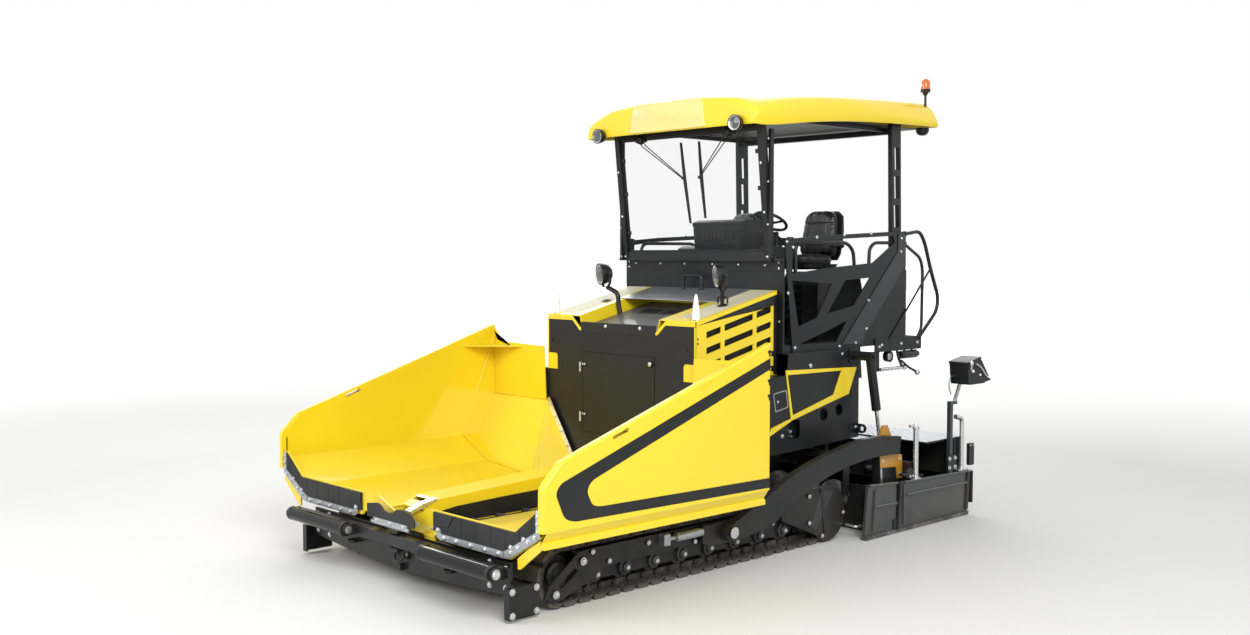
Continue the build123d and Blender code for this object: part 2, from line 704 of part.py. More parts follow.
def wing_cylinder():
    """Barrel and rod that lift a wing, between the frame and the wing's floor."""
    foot = (WING_CYLINDER_X, *WING_CYLINDER_LOW)
    eye = (WING_CYLINDER_X, *WING_CYLINDER_HIGH)
    return barrel(foot, eye, (1, 0, 0), 520, 38), piston_rod(foot, eye, (1, 0, 0), 200, 38, WING_EYE_ROOM)


def lift_cylinder():
    """Barrel and rod that lift the screed, hung from the side of the body."""
    foot = (LIFT_HIGH[0], LIFT_Y, LIFT_HIGH[1])
    eye = (LIFT_LOW[0], LIFT_Y, LIFT_LOW[1])
    shaft = piston_rod(foot, eye, (0, 1, 0), LIFT_BARREL - 90, 40, LIFT_EYE_ROOM)
    return barrel(foot, eye, (0, 1, 0), LIFT_BARREL, 40), shaft


def levelling_cylinder():
    """Cylinder that holds the height of the tow point, lying along the track guard."""
    y = GUARD_OUT + 33
    body = rod((60, y, 330), (330, y, 330), 32)
    shaft = rod((330, y, 330), (400, y, 330), 16)
    anchor = block(400, 460, GUARD_OUT, y + 22, 290, 370)
    return body, shaft, anchor


# ---------------------------------------------------------------- hood, body, engine
def hood_top(x):
    """Height of the hood's sloping top at x."""
    rise = (HOOD_REAR_TOP - HOOD_FRONT_TOP) / (HOOD_FRONT - HOOD_REAR)
    return HOOD_FRONT_TOP + (HOOD_FRONT - x) * rise


NOTCH_TOP_HALF = 570.0
NOTCH_LOW_HALF = 450.0
NOTCH_DEPTH = 105.0
RECESS_REAR = -1180.0
HOOD_SLOTS = ((-457.0, -625.0), (-667.0, -1011.0), (-1052.0, -1235.0))
SLOT_TOP = 110.0  # upper row under the hood's top
SLOT_ROW = 124.0
SLOT_HEIGHT = 52.0


def hood_shell():
    """Side walls and top with the exhaust recess and three rows of slots in each side."""
    outer = side_plate([(HOOD_FRONT - 12, LEDGE_Z), (HOOD_REAR, LEDGE_Z), (HOOD_REAR, HOOD_REAR_TOP),
                        (HOOD_FRONT - 12, hood_top(HOOD_FRONT - 12))], -HOOD_HALF, HOOD_HALF)
    inner = side_plate(
        [
            (HOOD_FRONT + 9, LEDGE_Z - 9), (HOOD_REAR + SHEET, LEDGE_Z - 9),
            (HOOD_REAR + SHEET, HOOD_REAR_TOP - SHEET), (HOOD_FRONT + 9, hood_top(HOOD_FRONT + 9) - SHEET),
        ],
        -HOOD_HALF + SHEET, HOOD_HALF - SHEET,
    )
    recess = cross_plate(
        [
            (-NOTCH_TOP_HALF, 2200), (-NOTCH_LOW_HALF, HOOD_FRONT_TOP - NOTCH_DEPTH),
            (NOTCH_LOW_HALF, HOOD_FRONT_TOP - NOTCH_DEPTH), (NOTCH_TOP_HALF, 2200),
        ],
        RECESS_REAR, HOOD_FRONT + 20,
    )
    shell = outer - inner - recess
    pan = cross_plate(
        [
            (-NOTCH_TOP_HALF - 6, 2200), (-NOTCH_LOW_HALF - 6, HOOD_FRONT_TOP - NOTCH_DEPTH - SHEET),
            (NOTCH_LOW_HALF + 6, HOOD_FRONT_TOP - NOTCH_DEPTH - SHEET), (NOTCH_TOP_HALF + 6, 2200),
        ],
        RECESS_REAR - SHEET, HOOD_FRONT - 12,
    )
    pan = (pan - recess) & outer
    shell += pan
    for row in range(3):
        for x0, x1 in HOOD_SLOTS:
            top = [
                (x0, hood_top(x0) - SLOT_TOP - row * SLOT_ROW),
                (x1, hood_top(x1) - SLOT_TOP - row * SLOT_ROW),
            ]
            low = [(x, z - SLOT_HEIGHT) for x, z in reversed(top)]
            slot = side_plate(top + low, HOOD_HALF - SHEET - 1, HOOD_HALF + 1, 8)
            shell -= slot
            shell -= mirrored(slot)
    return shell


def hood_front():
    """Dark front panel with its notch, the door's opening and the tunnel's mouth beneath."""
    x0 = HOOD_FRONT - 12
    outline = [
        (-HOOD_HALF, 640), (-HOOD_HALF, HOOD_FRONT_TOP - 3), (-NOTCH_TOP_HALF, HOOD_FRONT_TOP - 3),
        (-NOTCH_LOW_HALF, HOOD_FRONT_TOP - NOTCH_DEPTH), (NOTCH_LOW_HALF, HOOD_FRONT_TOP - NOTCH_DEPTH),
        (NOTCH_TOP_HALF, HOOD_FRONT_TOP - 3), (HOOD_HALF, HOOD_FRONT_TOP - 3), (HOOD_HALF, 640), (425, 640),
        (425, 720), (-425, 720), (-425, 640),
    ]
    panel = cross_plate(outline, x0, HOOD_FRONT)
    panel -= block(x0 - 1, HOOD_FRONT + 1, -DOOR_HALF, DOOR_HALF, DOOR_LOW, DOOR_TOP)
    frame = block(x0 - 18, x0 + 1, -DOOR_HALF - 30, DOOR_HALF + 30, DOOR_LOW - 30, DOOR_TOP + 30)
    panel += frame - block(x0 - 20, x0 + 2, -DOOR_HALF + 25, DOOR_HALF - 25, DOOR_LOW + 25, DOOR_TOP - 25)
    panel -= block(x0 - 1, HOOD_FRONT + 1, -DOOR_HALF, DOOR_HALF, DOOR_LOW, DOOR_TOP)
    for side in (-1, 1):
        panel -= rod((x0 - 1, side * 815, 1610), (HOOD_FRONT + 1, side * 815, 1610), 22)
    x, y = DOOR_AXIS
    for z in DOOR_HINGES:
        panel += rod((x, y, z - 45), (x, y, z - 2), 8)
        panel += block(HOOD_FRONT - 2, x, y - 26, y, z - 45, z - 2)
        panel += rod((x, y, z - 5), (x, y, z + 42), 4)
    return panel


def hood_door():
    """Service door in the front panel, with two hinge knuckles and a round latch."""
    x, y = DOOR_AXIS
    door = block(
        HOOD_FRONT - 10.5, HOOD_FRONT + 1, -DOOR_HALF + GAP, DOOR_HALF - GAP, DOOR_LOW + GAP, DOOR_TOP - GAP,
    )
    for z in DOOR_HINGES:
        door += block(HOOD_FRONT + 0.8, HOOD_FRONT + 6, y, -DOOR_HALF + 60, z + 2, z + 40)
        door += rod((x, y, z + 2), (x, y, z + 40), 8)
        door -= rod((x, y, z - 50), (x, y, z + 60), 4 + FIT)
    latch_y = DOOR_HALF - 45
    latch_z = DOOR_TOP - 60
    return door + rod((HOOD_FRONT, latch_y, latch_z), (HOOD_FRONT + 15, latch_y, latch_z), 24)


def side_body():
    """Body below hood and stand: side walls with ports, ledges beside the hood, rear wall and roof."""
    low = FRAME_BODY_TOP - 10
    wall_profile = [
        (HOOD_FRONT - 14, low),
        (HOOD_FRONT - 14, LEDGE_Z),
        (HOOD_REAR, LEDGE_Z),
        (HOOD_REAR - 20, DECK_Z),
        (BODY_REAR, DECK_Z),
        (BODY_REAR, low + 70),
    ]
    wall = side_plate(wall_profile, BODY_HALF - SHEET, BODY_HALF)
    for x, z, r in [(-1800, 1000, 55), (-2010, 1020, 50)]:
        wall -= rod((x, BODY_HALF - 20, z), (x, BODY_HALF + 10, z), r)
    wall -= side_plate(
        [(-1320, 830), (-1320, 985), (-1480, 985), (-1480, 830)], BODY_HALF - 20, BODY_HALF + 10, 30,
    )
    wall += block(HOOD_REAR - 12, HOOD_FRONT - 14, HOOD_HALF - SHEET, BODY_HALF, LEDGE_Z - SHEET, LEDGE_Z)
    wall += cross_plate(
        [(HOOD_HALF + 1, low), (BODY_HALF, low), (BODY_HALF, LEDGE_Z), (HOOD_HALF + 1, LEDGE_Z)],
        HOOD_FRONT - 14 - SHEET, HOOD_FRONT - 14,
    )
    body = wall + mirrored(wall)
    body += block(BODY_REAR, BODY_REAR + SHEET, -BODY_HALF, BODY_HALF, low + 70, DECK_Z)
    body += block(BODY_REAR, HOOD_REAR - 12, -BODY_HALF, BODY_HALF, DECK_Z - SHEET, DECK_Z)
    floor = side_plate(
        [
            (HOOD_FRONT - 14, low), (HOOD_FRONT - 14, low + SHEET), (BODY_REAR, low + 70 + SHEET),
            (BODY_REAR, low + 70),
        ],
        GIRDER_OUT, BODY_HALF,
    )
    body += floor
    body += mirrored(floor)
    return body


def lift_bracket():
    """Plate and boss on the body's side with the upper pin of the screed's lift cylinder."""
    x, z = LIFT_HIGH
    bracket = block(x - 60, x + 60, BODY_HALF, BODY_HALF + 12, z - 60, z + 60)
    bracket += rod((x, BODY_HALF, z), (x, LIFT_Y - EYE_HALF - 3, z), 40)
    return bracket + rod((x, BODY_HALF, z), (x, LIFT_Y + EYE_HALF + 12, z), CYLINDER_PIN)


def rear_eye():
    """Lashing eye on the body's side beside its rear wall, with its bore along X."""
    x, y, z = LASHING_REAR
    return lashing_eye((x, y, z), (x, BODY_HALF, z), (-1, 0, 0))


def side_frame():
    """Raised frame on the side of the body: a slanting four-sided band."""
    outer = [(-1250, 1404), (-2182, 1373), (-2067, 1158), (-1015, 850)]
    inner = [(-1290, 1368), (-2060, 1345), (-1985, 1190), (-1240, 960)]
    band = side_plate(outer, BODY_HALF, BODY_HALF + 10) - side_plate(inner, BODY_HALF - 1, BODY_HALF + 11)
    return band & block(-2400, -1100, BODY_HALF, BODY_HALF + 20, 800, 1500)


def girder_top(x):
    """Height of the girders' sloping top edge behind the hood front."""
    rise = 66 / (HOOD_FRONT - 14 - BODY_REAR - 40)
    return FRAME_BODY_TOP + (HOOD_FRONT - 14 - x) * rise


def engine():
    """Engine with its coolers as one plain mass on two bearers over the frame."""
    mass = block(-1230, -500, -430, 430, FRAME_BODY_TOP + 60, 1600)
    for x in (-1150, -640):
        bearer = [
            (x, girder_top(x)), (x + 60, girder_top(x + 60)), (x + 60, FRAME_BODY_TOP + 61),
            (x, FRAME_BODY_TOP + 61),
        ]
        mass += side_plate(bearer, -GIRDER_OUT, GIRDER_OUT)
    return mass


def hood_handle():
    """Low handle on the hood behind the recess."""
    x = RECESS_REAR - 50
    foot = hood_top(x - 11)
    return mitred_rail([(x, -110, foot), (x, -110, foot + 130), (x, -90, foot + 150), (x, 90, foot + 150),
                        (x, 110, foot + 130), (x, 110, foot)], 11)


def work_light(x, y, lift):
    """Round lamp on a short stalk with a foot on the hood."""
    foot = side_plate(
        [
            (x - 35, hood_top(x - 35)), (x - 35, hood_top(x - 35) + 12), (x + 35, hood_top(x + 35) + 12),
            (x + 35, hood_top(x + 35)),
        ],
        y - 35, y + 35,
    )
    stalk = rod((x, y, hood_top(x) + 5), (x, y, hood_top(x) + lift), 12)
    can = rod((x - 30, y, hood_top(x) + lift + 60), (x + 65, y, hood_top(x) + lift + 52), 78)
    return foot + stalk + can


# ---------------------------------------------------------------- operator's stand and canopy
def deck():
    """Floor of the stand with the rear landing and its kick plates."""
    plate = block(
        DECK_REAR, HOOD_REAR - 12, -STAND_HALF + 12, STAND_HALF - PANEL, DECK_Z, DECK_Z + DECK_THICKNESS,
    )
    return plate


def stand_side():
    """Side panel of the stand: front post, sloping rail, two slanting struts and their windows."""
    y0 = STAND_HALF - PANEL
    outline = [(-1335, 2440), (-1440, DECK_Z), (-2400, DECK_Z), (-2460, 1646), (-3057, 2240), (-3052, 2560),
               (-2860, 2560), (-1750, 2512), (-1335, 2480)]
    windows = [
        [
            (-1425, 2442), (-1750, 2474), (-2860, 2522), (-2881, 2460), (-2551, 2280), (-1892, 2239),
            (-1431, 2196),
        ],
        [(-1425, 2139), (-1965, 2106), (-1756, 1818), (-1512, 1755)],
        [(-2151, 2133), (-2511, 2148), (-2270, 1905), (-1905, 1852)],
        [(-1528, 1606), (-1931, 1709), (-2181, 1783), (-2030, 1600)],
    ]
    side = side_plate(outline, y0, STAND_HALF)
    for window in windows:
        side -= side_plate(window, y0 - 1, STAND_HALF + 1)
    brace = [
        (-2085, 1565), (-2395, 1565), (-2455, 1652), (-3050, 2244), (-3046, 2550), (-2926, 2550),
        (-2923, 2380),
    ]
    side += side_plate(brace, STAND_HALF - 1, STAND_HALF + 6)
    infill = [(-2380, 1600), (DECK_REAR, 1600), (DECK_REAR, 2200), (-3045, 2260), (-2980, 2260)]
    return side + side_plate(infill, y0 + 2, y0 + 5)


def screen_frame():
    """Windscreen frame at the front of the stand with its lower panel."""
    half = STAND_HALF - PANEL
    top_x = POST_FRONT_X + 125
    frame = block(-1345, -1325, -half, half, DECK_Z + DECK_THICKNESS, 2325)
    frame += block(-1345, POST_FRONT_X + 10, -half, half, 2300, 2325)
    for side in (-1, 1):
        y0, y1 = sorted((side * 820, side * 875))
        post = [
            (POST_FRONT_X - 45, 2320), (POST_FRONT_X + 15, 2320), (top_x + 15, ROOF_Z + 40),
            (top_x - 45, ROOF_Z + 40),
        ]
        frame += side_plate(post, y0, y1)
    frame += block(POST_FRONT_X - 40, POST_FRONT_X + 10, -830, 830, 2324, 2380)
    frame += block(POST_FRONT_X + 85, POST_FRONT_X + 125, -830, 830, 3380, 3440)
    return frame


def windscreen():
    """Laminated pane between the front posts."""
    pane = side_plate(
        [
            (POST_FRONT_X - 20, 2380), (POST_FRONT_X - 14, 2380), (POST_FRONT_X + 100, 3380),
            (POST_FRONT_X + 94, 3380),
        ],
        -820, 820,
    )
    return pane


def rear_posts():
    """Double rear posts of the canopy with cross links and a rear tie."""
    posts = []
    for side in (-1, 1):
        y0, y1 = sorted((side * 895, side * (STAND_HALF - PANEL)))
        outer = side_plate([(-3000, 2400), (-2860, 2400), (-2835, 3480), (-2975, 3480)], y0, y1)
        for z in (2600, 2860, 3120):
            outer -= side_plate(
                [(-2965, z), (-2890, z), (-2880, z + 200), (-2955, z + 200)], y0 - 1, y1 + 1,
            )
        posts.append(outer)
    return posts


def side_rail():
    """Two hand rails in the side's upper window, with a gap between their ends."""
    y = STAND_HALF - PANEL - TUBE
    front = [
        (-1500, y, 2190), (-1500, y, 2430), (-1526, y, 2456), (-2203, y, 2456), (-2296, y, 2370),
        (-2314, y, 2240),
    ]
    rear = [(-2525, y, 2260), (-2532, y, 2400), (-2617, y, 2458), (-2850, y, 2459)]
    return mitred_rail(front, TUBE) + mitred_rail(rear, TUBE)


def ladder_rail():
    """Curved hand rails beside the rear ladder, tied by a slanting strut."""
    y = STAND_HALF - PANEL / 2
    outer = [
        (-3040, y, 2540), (-3274, y, 2568), (-3371, y, 2463), (-3472, y, 2215), (-3594, y, 1954),
        (-3577, y, 1834), (-3290, y, 1580),
    ]
    inner = [(-3040, y, 2450), (-3299, y, 2302), (-3338, y, 2217), (-3331, y, 1681), (-3258, y, 1580)]
    rails = mitred_rail(outer, TUBE) + mitred_rail(inner, TUBE - 2)
    rails += rod((-3470, y + 5.5, 2230), (-2810, y + 5.5, 1580), TUBE - 7)
    return rails - stand_side() - block(-3400, -2600, y - 30, y + 30, BRACKET_LOW, BRACKET_TOP)


def landing_bracket():
    """Bracket plates under the rear landing with the ladder's steps."""
    plate = block(-3325, -2600, STAND_HALF - PANEL, STAND_HALF, BRACKET_LOW, BRACKET_TOP)
    steps = block(-3130, -2960, -420, 420, 1180, 1200)
    for y in (-435, 420):
        steps += side_plate([(-3000, DECK_Z), (-3080, DECK_Z), (-3110, 1180), (-3030, 1180)], y, y + 15)
    return plate, mirrored(plate), steps


def canopy():
    """Roof shell with a raised middle, a deep front fascia and curved sides, open beneath."""
    half = [
        (0, ROOF_Z + 215), (420, ROOF_Z + 210), (600, ROOF_Z + 190), (900, ROOF_Z + 175),
        (ROOF_HALF - 20, ROOF_Z + 120), (ROOF_HALF, ROOF_Z + 20), (ROOF_HALF, ROOF_Z - 20),
    ]
    outline = half + [(-y, z) for y, z in reversed(half[1:])]
    blank = cross_plate(outline, ROOF_REAR, ROOF_FRONT)
    side = side_plate(
        [
            (ROOF_REAR, ROOF_Z - 20), (ROOF_REAR + 20, ROOF_Z + 130), (ROOF_REAR + 160, ROOF_Z + 215),
            (-1400, ROOF_Z + 190), (ROOF_FRONT - 80, ROOF_Z + 150), (ROOF_FRONT, ROOF_Z + 60),
            (ROOF_FRONT, ROOF_Z - 20),
        ],
        -1200, 1200,
    )
    blank &= side
    inner = [
        (0, ROOF_Z + 185), (420, ROOF_Z + 180), (600, ROOF_Z + 160), (900, ROOF_Z + 145),
        (ROOF_HALF - 45, ROOF_Z + 100), (ROOF_HALF - 25, ROOF_Z + 20), (ROOF_HALF - 25, ROOF_Z - 30),
    ]
    hollow = cross_plate(inner + [(-y, z) for y, z in reversed(inner[1:])], ROOF_REAR + 30, ROOF_FRONT - 30)
    hollow &= side_plate(
        [
            (ROOF_REAR + 25, ROOF_Z - 30), (ROOF_REAR + 45, ROOF_Z + 110), (ROOF_REAR + 175, ROOF_Z + 185),
            (-1400, ROOF_Z + 160), (ROOF_FRONT - 110, ROOF_Z + 120), (ROOF_FRONT - 30, ROOF_Z + 40),
            (ROOF_FRONT - 30, ROOF_Z - 30),
        ],
        -1200, 1200,
    )
    shell = blank - hollow
    for x in (POST_FRONT_X + 85, -2975):
        shell += block(x, x + 60, -ROOF_HALF + 30, ROOF_HALF - 30, ROOF_Z + 40, ROOF_Z + 90)
    return shell


def beacon():
    """Flashing beacon on a bent stem at the rear corner of the roof."""
    x = ROOF_REAR + 110
    y = ROOF_HALF - 75
    z = ROOF_Z + 146
    stem = rod((x, y, z), (x, y, z + 274), 11)
    lamp = rod((x, y, z + 274), (x, y, z + 384), 48) + rod((x, y, z + 254), (x, y, z + 275), 40)
    return stem + lamp


def console():
    """Driver's desk on a slanting column across the front of the stand."""
    desk = side_plate(
        [(-1420, 2330), (-1400, 2600), (-1620, 2650), (-1960, 2470), (-1960, 2330)], -380, 560,
    )
    column = side_plate(
        [(-1500, DECK_Z + DECK_THICKNESS), (-1460, 2331), (-1760, 2331), (-1640, DECK_Z + DECK_THICKNESS)],
        -120, 300,
    )
    return desk + column


def steering_wheel():
    """Small wheel rim on a slanting shaft over the desk."""
    shaft_foot = (-1800.4, 350, 2555.8)
    shaft_top = (-1850, 350, 2640)
    seat = Location(shaft_top, (0, -30, 0))
    rim = seat * (RegularPolygon(WHEEL_RADIUS + 12, 16) - RegularPolygon(WHEEL_RADIUS - 12, 16))
    spoke = seat * Box(2 * WHEEL_RADIUS - 10, 26, 12)
    return rod(shaft_foot, shaft_top, 18) + extrude(rim, amount=12, both=True) + spoke


def seat():
    """Seat with pan, back, arm rests and pedestal, left of the middle."""
    y = 450
    pan = side_plate([(-1950, 2240), (-1960, 2320), (-2420, 2300), (-2440, 2220)], y - 240, y + 240)
    back = side_plate(
        [(-2380, 2301), (-2440, 2740), (-2540, 2760), (-2500, 2240), (-2441, 2230)], y - 230, y + 230,
    )
    pedestal = side_plate(
        [(-2050, DECK_Z + DECK_THICKNESS), (-2060, 2238), (-2380, 2222), (-2380, DECK_Z + DECK_THICKNESS)],
        y - 130, y + 130,
    )
    return pan, back, pedestal


# ---------------------------------------------------------------- tow arms, screed, extensions
def tow_bracket():
    """Plate outside the track guard with the pin that the tow arm pulls on."""
    bracket = side_plate([(-360, 215), (-360, 372), (60, 372), (60, 245), (0, 215)], GUARD_OUT, ARM_IN - 8)
    bracket += rod((TOW_X, ARM_IN - 9, TOW_Z), (TOW_X, ARM_OUT + 3, TOW_Z), TOW_PIN)
    bracket += rod((TOW_X, ARM_OUT + 3, TOW_Z), (TOW_X, ARM_OUT + 18, TOW_Z), TOW_PIN + 15)
    return bracket


def tow_arm():
    """Curved arm from the tow pin back to the screed."""
    top = [
        (-169, 350), (-300, 400), (-650, 540), (-922, 650), (-1150, 715), (-1332, 752), (-1560, 795),
        (-1809, 826), (-2080, 828), (-2345, 801),
    ]
    low = [
        (-2324, 649), (-2080, 668), (-1812, 651), (-1560, 622), (-1335, 574), (-1120, 510), (-925, 430),
        (-770, 350), (-614, 273), (-300, 240), (-160, 240), (-130, 270), (-130, 320),
    ]
    arm = side_plate(top + low, ARM_IN, ARM_OUT)
    arm -= rod((TOW_X, ARM_IN - 1, TOW_Z), (TOW_X, ARM_OUT + 1, TOW_Z), TOW_PIN + FIT)
    foot = side_plate(
        [(-2130, BASE_TOP), (-2110, 660), (-2330, 650), (-2440, 630), (-2450, BASE_TOP)], BASE_HALF,
        ARM_IN + 1,
    )
    foot += side_plate(
        [(-2130, 120), (-2130, BASE_TOP + 1), (-2450, BASE_TOP + 1), (-2450, 120)], BASE_HALF,
        BASE_HALF + 30,
    )
    foot += side_plate([(-2110, 640), (-2120, 800), (-2335, 780), (-2330, 640)], ARM_IN - 30, ARM_IN + 1)
    x, z = LIFT_LOW
    foot += rod((x, LIFT_Y - EYE_HALF - 12, z), (x, BASE_HALF + 1, z), CYLINDER_PIN)
    foot += rod((x, LIFT_Y + EYE_HALF + 3, z), (x, BASE_HALF + 1, z), CYLINDER_PIN + 18)
    return arm + foot


def screed_base():
    """Base screed: hollow box with sole, sloping front wall and the bearings of the guide tubes."""
    outer = side_plate(
        [
            (BASE_FRONT, 60), (BASE_FRONT, BASE_TOP), (BASE_REAR, BASE_TOP), (BASE_REAR, SOLE_Z),
            (BASE_FRONT - 60, SOLE_Z),
        ],
        -BASE_HALF, BASE_HALF,
    )
    inner = side_plate(
        [
            (BASE_FRONT - 15, 70), (BASE_FRONT - 15, BASE_TOP + 1), (BASE_REAR + 15, BASE_TOP + 1),
            (BASE_REAR + 15, 30), (BASE_FRONT - 60, 30),
        ],
        -BASE_HALF + 15, BASE_HALF - 15,
    )
    base = outer - inner
    base += block(BASE_REAR + 14, BASE_FRONT - 100, -12, 12, 29, BASE_TOP)
    base += block(BASE_REAR + 1, -2440, -BASE_HALF, BASE_HALF, BASE_TOP - 12, BASE_TOP)
    return base


def guide_bearings():
    """Four bearing blocks on the base screed, two for each guide tube."""
    blocks = []
    for side, x in ((1, GUIDE_LEFT_X), (-1, GUIDE_RIGHT_X)):
        for y in (230.0, 1150.0):
            y0, y1 = sorted((side * (y - BEARING_HALF), side * (y + BEARING_HALF)))
            bearing = block(x - 36, x + 36, y0, y1, BASE_TOP, GUIDE_Z + 36)
            blocks.append(bearing - rod((x, y0 - 1, GUIDE_Z), (x, y1 + 1, GUIDE_Z), GUIDE_RADIUS + FIT))
    return blocks


def extension(side, x):
    """Screed extension: box with sole, guide tube and the plate that carries its end gate."""
    y_in = 25.0
    outer = side_plate(
        [
            (EXT_FRONT, 60), (EXT_FRONT, EXT_TOP), (EXT_REAR, EXT_TOP), (EXT_REAR, SOLE_Z),
            (EXT_FRONT - 50, SOLE_Z),
        ],
        y_in, EXT_OUT,
    )
    inner = side_plate(
        [
            (EXT_FRONT - 15, 70), (EXT_FRONT - 15, EXT_TOP + 1), (EXT_REAR + 15, EXT_TOP + 1),
            (EXT_REAR + 15, 30), (EXT_FRONT - 50, 30),
        ],
        y_in + 15, EXT_OUT - 15,
    )
    unit = outer - inner
    unit += block(EXT_REAR, EXT_REAR + 140, y_in, EXT_OUT, EXT_TOP - 1, EXT_TOP + 330)
    unit += block(EXT_FRONT - 60, EXT_REAR + 139, y_in, EXT_OUT, EXT_TOP + 318, EXT_TOP + 330)
    unit += block(-2460, EXT_FRONT + 1, BASE_HALF + 45, EXT_OUT, EXT_TOP - 30, EXT_TOP)
    unit += block(x - 40, x + 40, BASE_HALF + 45, EXT_OUT, EXT_TOP - 1, GUIDE_Z + 40)
    unit += block(EXT_FRONT - 20, x, BASE_HALF + 45, EXT_OUT, EXT_TOP - 2, EXT_TOP + 60)
    if side < 0:
        unit = mirrored(unit)
    y0 = side * -330.0
    y1 = side * (EXT_OUT - 5)
    tube_rod = rod((x, y0, GUIDE_Z), (x, y1, GUIDE_Z), GUIDE_RADIUS)
    return unit + tube_rod


def end_gate():
    """Side plate of the screed: sloping front section, ribbed rear section and a skid along the bottom."""
    y0 = GATE_IN
    y1 = GATE_IN + GATE_THICKNESS
    front = side_plate([(GATE_FRONT, 30), (-1800, 450), (-2200, 430), (-2200, 30)], y0, y1)
    rear = side_plate(
        [(-2212, 30), (-2260, 410), (-2260, 425), (GATE_REAR, 400), (GATE_REAR + 40, 30)], y0, y1,
    )
    gate = front + rear + block(-2212, -2200, y0, y1 - 8, 30, 420)
    gate += side_plate(
        [(-1745, SOLE_Z), (-1760, 32), (GATE_REAR + 50, 32), (GATE_REAR + 60, SOLE_Z)], y0 - 10, y1 + 22,
    )
    for points in (
        [(-1815, 440), (-1790, 455), (-2195, 432), (-2195, 418)],
        [(-1880, 255), (-1880, 270), (-2190, 262), (-2190, 247)],
        [(-2330, 300), (-2330, 315), (GATE_REAR + 80, 300), (GATE_REAR + 80, 285)],
        [(-2300, 412), (-2300, 425), (GATE_REAR, 400), (GATE_REAR, 386)],
    ):
        gate += side_plate(points, y1 - 1, y1 + 22)
    gate += side_plate([(-1850, 60), (-1890, 60), (-1920, 400), (-1880, 400)], y1 - 1, y1 + 14)
    gate += side_plate([(-2290, 60), (-2330, 60), (-2330, 400), (-2290, 400)], y1 - 1, y1 + 14)
    gate += block(EXT_REAR + 40, EXT_FRONT - 60, EXT_OUT, y0 + 1, 80, EXT_TOP - 20)
    return gate


def gate_spindles():
    """Upright height spindles of the end gate with bent tops."""
    y = GATE_IN + 12
    front = rod((-2500, y, 415), (-2500, y, 880), 20)
    rear = mitred_rail([(-3225, y, 402), (-3225, y, 860), (-3195, y, 885), (-3120, y, 900)], 18)
    foot = block(-3300, -3150, y - 25, y + 25, 401, 414)
    return front, rear + foot


def control_stand():
    """Post on the end gate with the outside control box."""
    y = GATE_IN + 12
    post = block(-3050, -3010, y - 18, y + 18, 404, 1050)
    arm = block(-3050, -3120, y - 18, y + 18, 1020, 1050)
    upper = rod((-3100, y, 1045), (-3100, y + 60, 1230), 14)
    head = side_plate(
        [(-3010, 1215), (-2980, 1400), (-3190, 1440), (-3330, 1270), (-3260, 1215)], y + 20, y + 200,
    )
    return post + arm + upper + head


def walkway():
    """Step plates over the base screed."""
    plate = side_plate([(-2440, 690), (-2440, 704), (-2640, 704), (-2640, 690)], -1125, 1125)
    for y in (-1090, -400, 370, 1060):
        plate += side_plate([(-2445, BASE_TOP), (-2445, 691), (-2458, 691), (-2458, BASE_TOP)], y, y + 30)
    return plate


# ---------------------------------------------------------------- augers
def auger_flight(start_y, end_y, hand):
    """A helical blade as a closed skin of flat triangles, wound on the shaft."""
    steps = 12
    turns = (end_y - start_y) / AUGER_PITCH
    count = int(round(turns * steps))
    half = 6.0
    inner = AUGER_SHAFT - 2
    rings = []
    for index in range(count + 1):
        angle = hand * 2 * pi * index / steps
        y = start_y + (end_y - start_y) * index / count
        ring = []
        for radius, dy in ((inner, -half), (AUGER_RADIUS, -half), (AUGER_RADIUS, half), (inner, half)):
            ring.append(Vector(AUGER_X + radius * cos(angle), y + dy, AUGER_Z + radius * sin(angle)))
        rings.append(ring)
    faces = []
    for ring, following in zip(rings, rings[1:]):
        for k in range(4):
            a, b = ring[k], ring[(k + 1) % 4]
            c, d = following[(k + 1) % 4], following[k]
            faces.append(Face(Wire.make_polygon([a, b, c])))
            faces.append(Face(Wire.make_polygon([a, c, d])))
    faces.append(Face(Wire.make_polygon(rings[0])))
    faces.append(Face(Wire.make_polygon(rings[-1])))
    return Solid(Shell(faces))


def auger():
    """Half of the cross auger: shaft and blade, turning in the middle gear case and an end bearing."""
    shaft = rod((AUGER_X, AUGER_IN - 55, AUGER_Z), (AUGER_X, AUGER_OUT + 35, AUGER_Z), AUGER_SHAFT)
    blade = auger_flight(AUGER_IN + 15, AUGER_OUT - 25, 1)
    return shaft + blade


def auger_carrier():
    """Gear case in the middle and two end bearings, hung from the frame."""
    case = side_plate(
        [
            (-1700, 560), (-1760, 190), (-1822, 160), (-1884, 190), (-1900, 420), (-1900, 660),
            (-1640, 660), (-1640, 560),
        ],
        -60, 60,
    )
    case -= rod((AUGER_X, 38, AUGER_Z), (AUGER_X, 61, AUGER_Z), AUGER_SHAFT + FIT)
    case -= rod((AUGER_X, -61, AUGER_Z), (AUGER_X, -38, AUGER_Z), AUGER_SHAFT + FIT)
    case += block(-1790, -1640, -GIRDER_IN, GIRDER_IN, 600, 660)
    hanger = side_plate(
        [(-1890, 700), (-1862, 250), (-1782, 250), (-1800, 700)], AUGER_OUT + 15, AUGER_OUT + 35,
    )
    hanger -= rod((AUGER_X, AUGER_OUT, AUGER_Z), (AUGER_X, AUGER_OUT + 50, AUGER_Z), AUGER_SHAFT + FIT)
    hanger += rod((-1845, GIRDER_OUT, 650), (-1845, AUGER_OUT + 16, 650), 32)
    return case, hanger, mirrored(hanger)


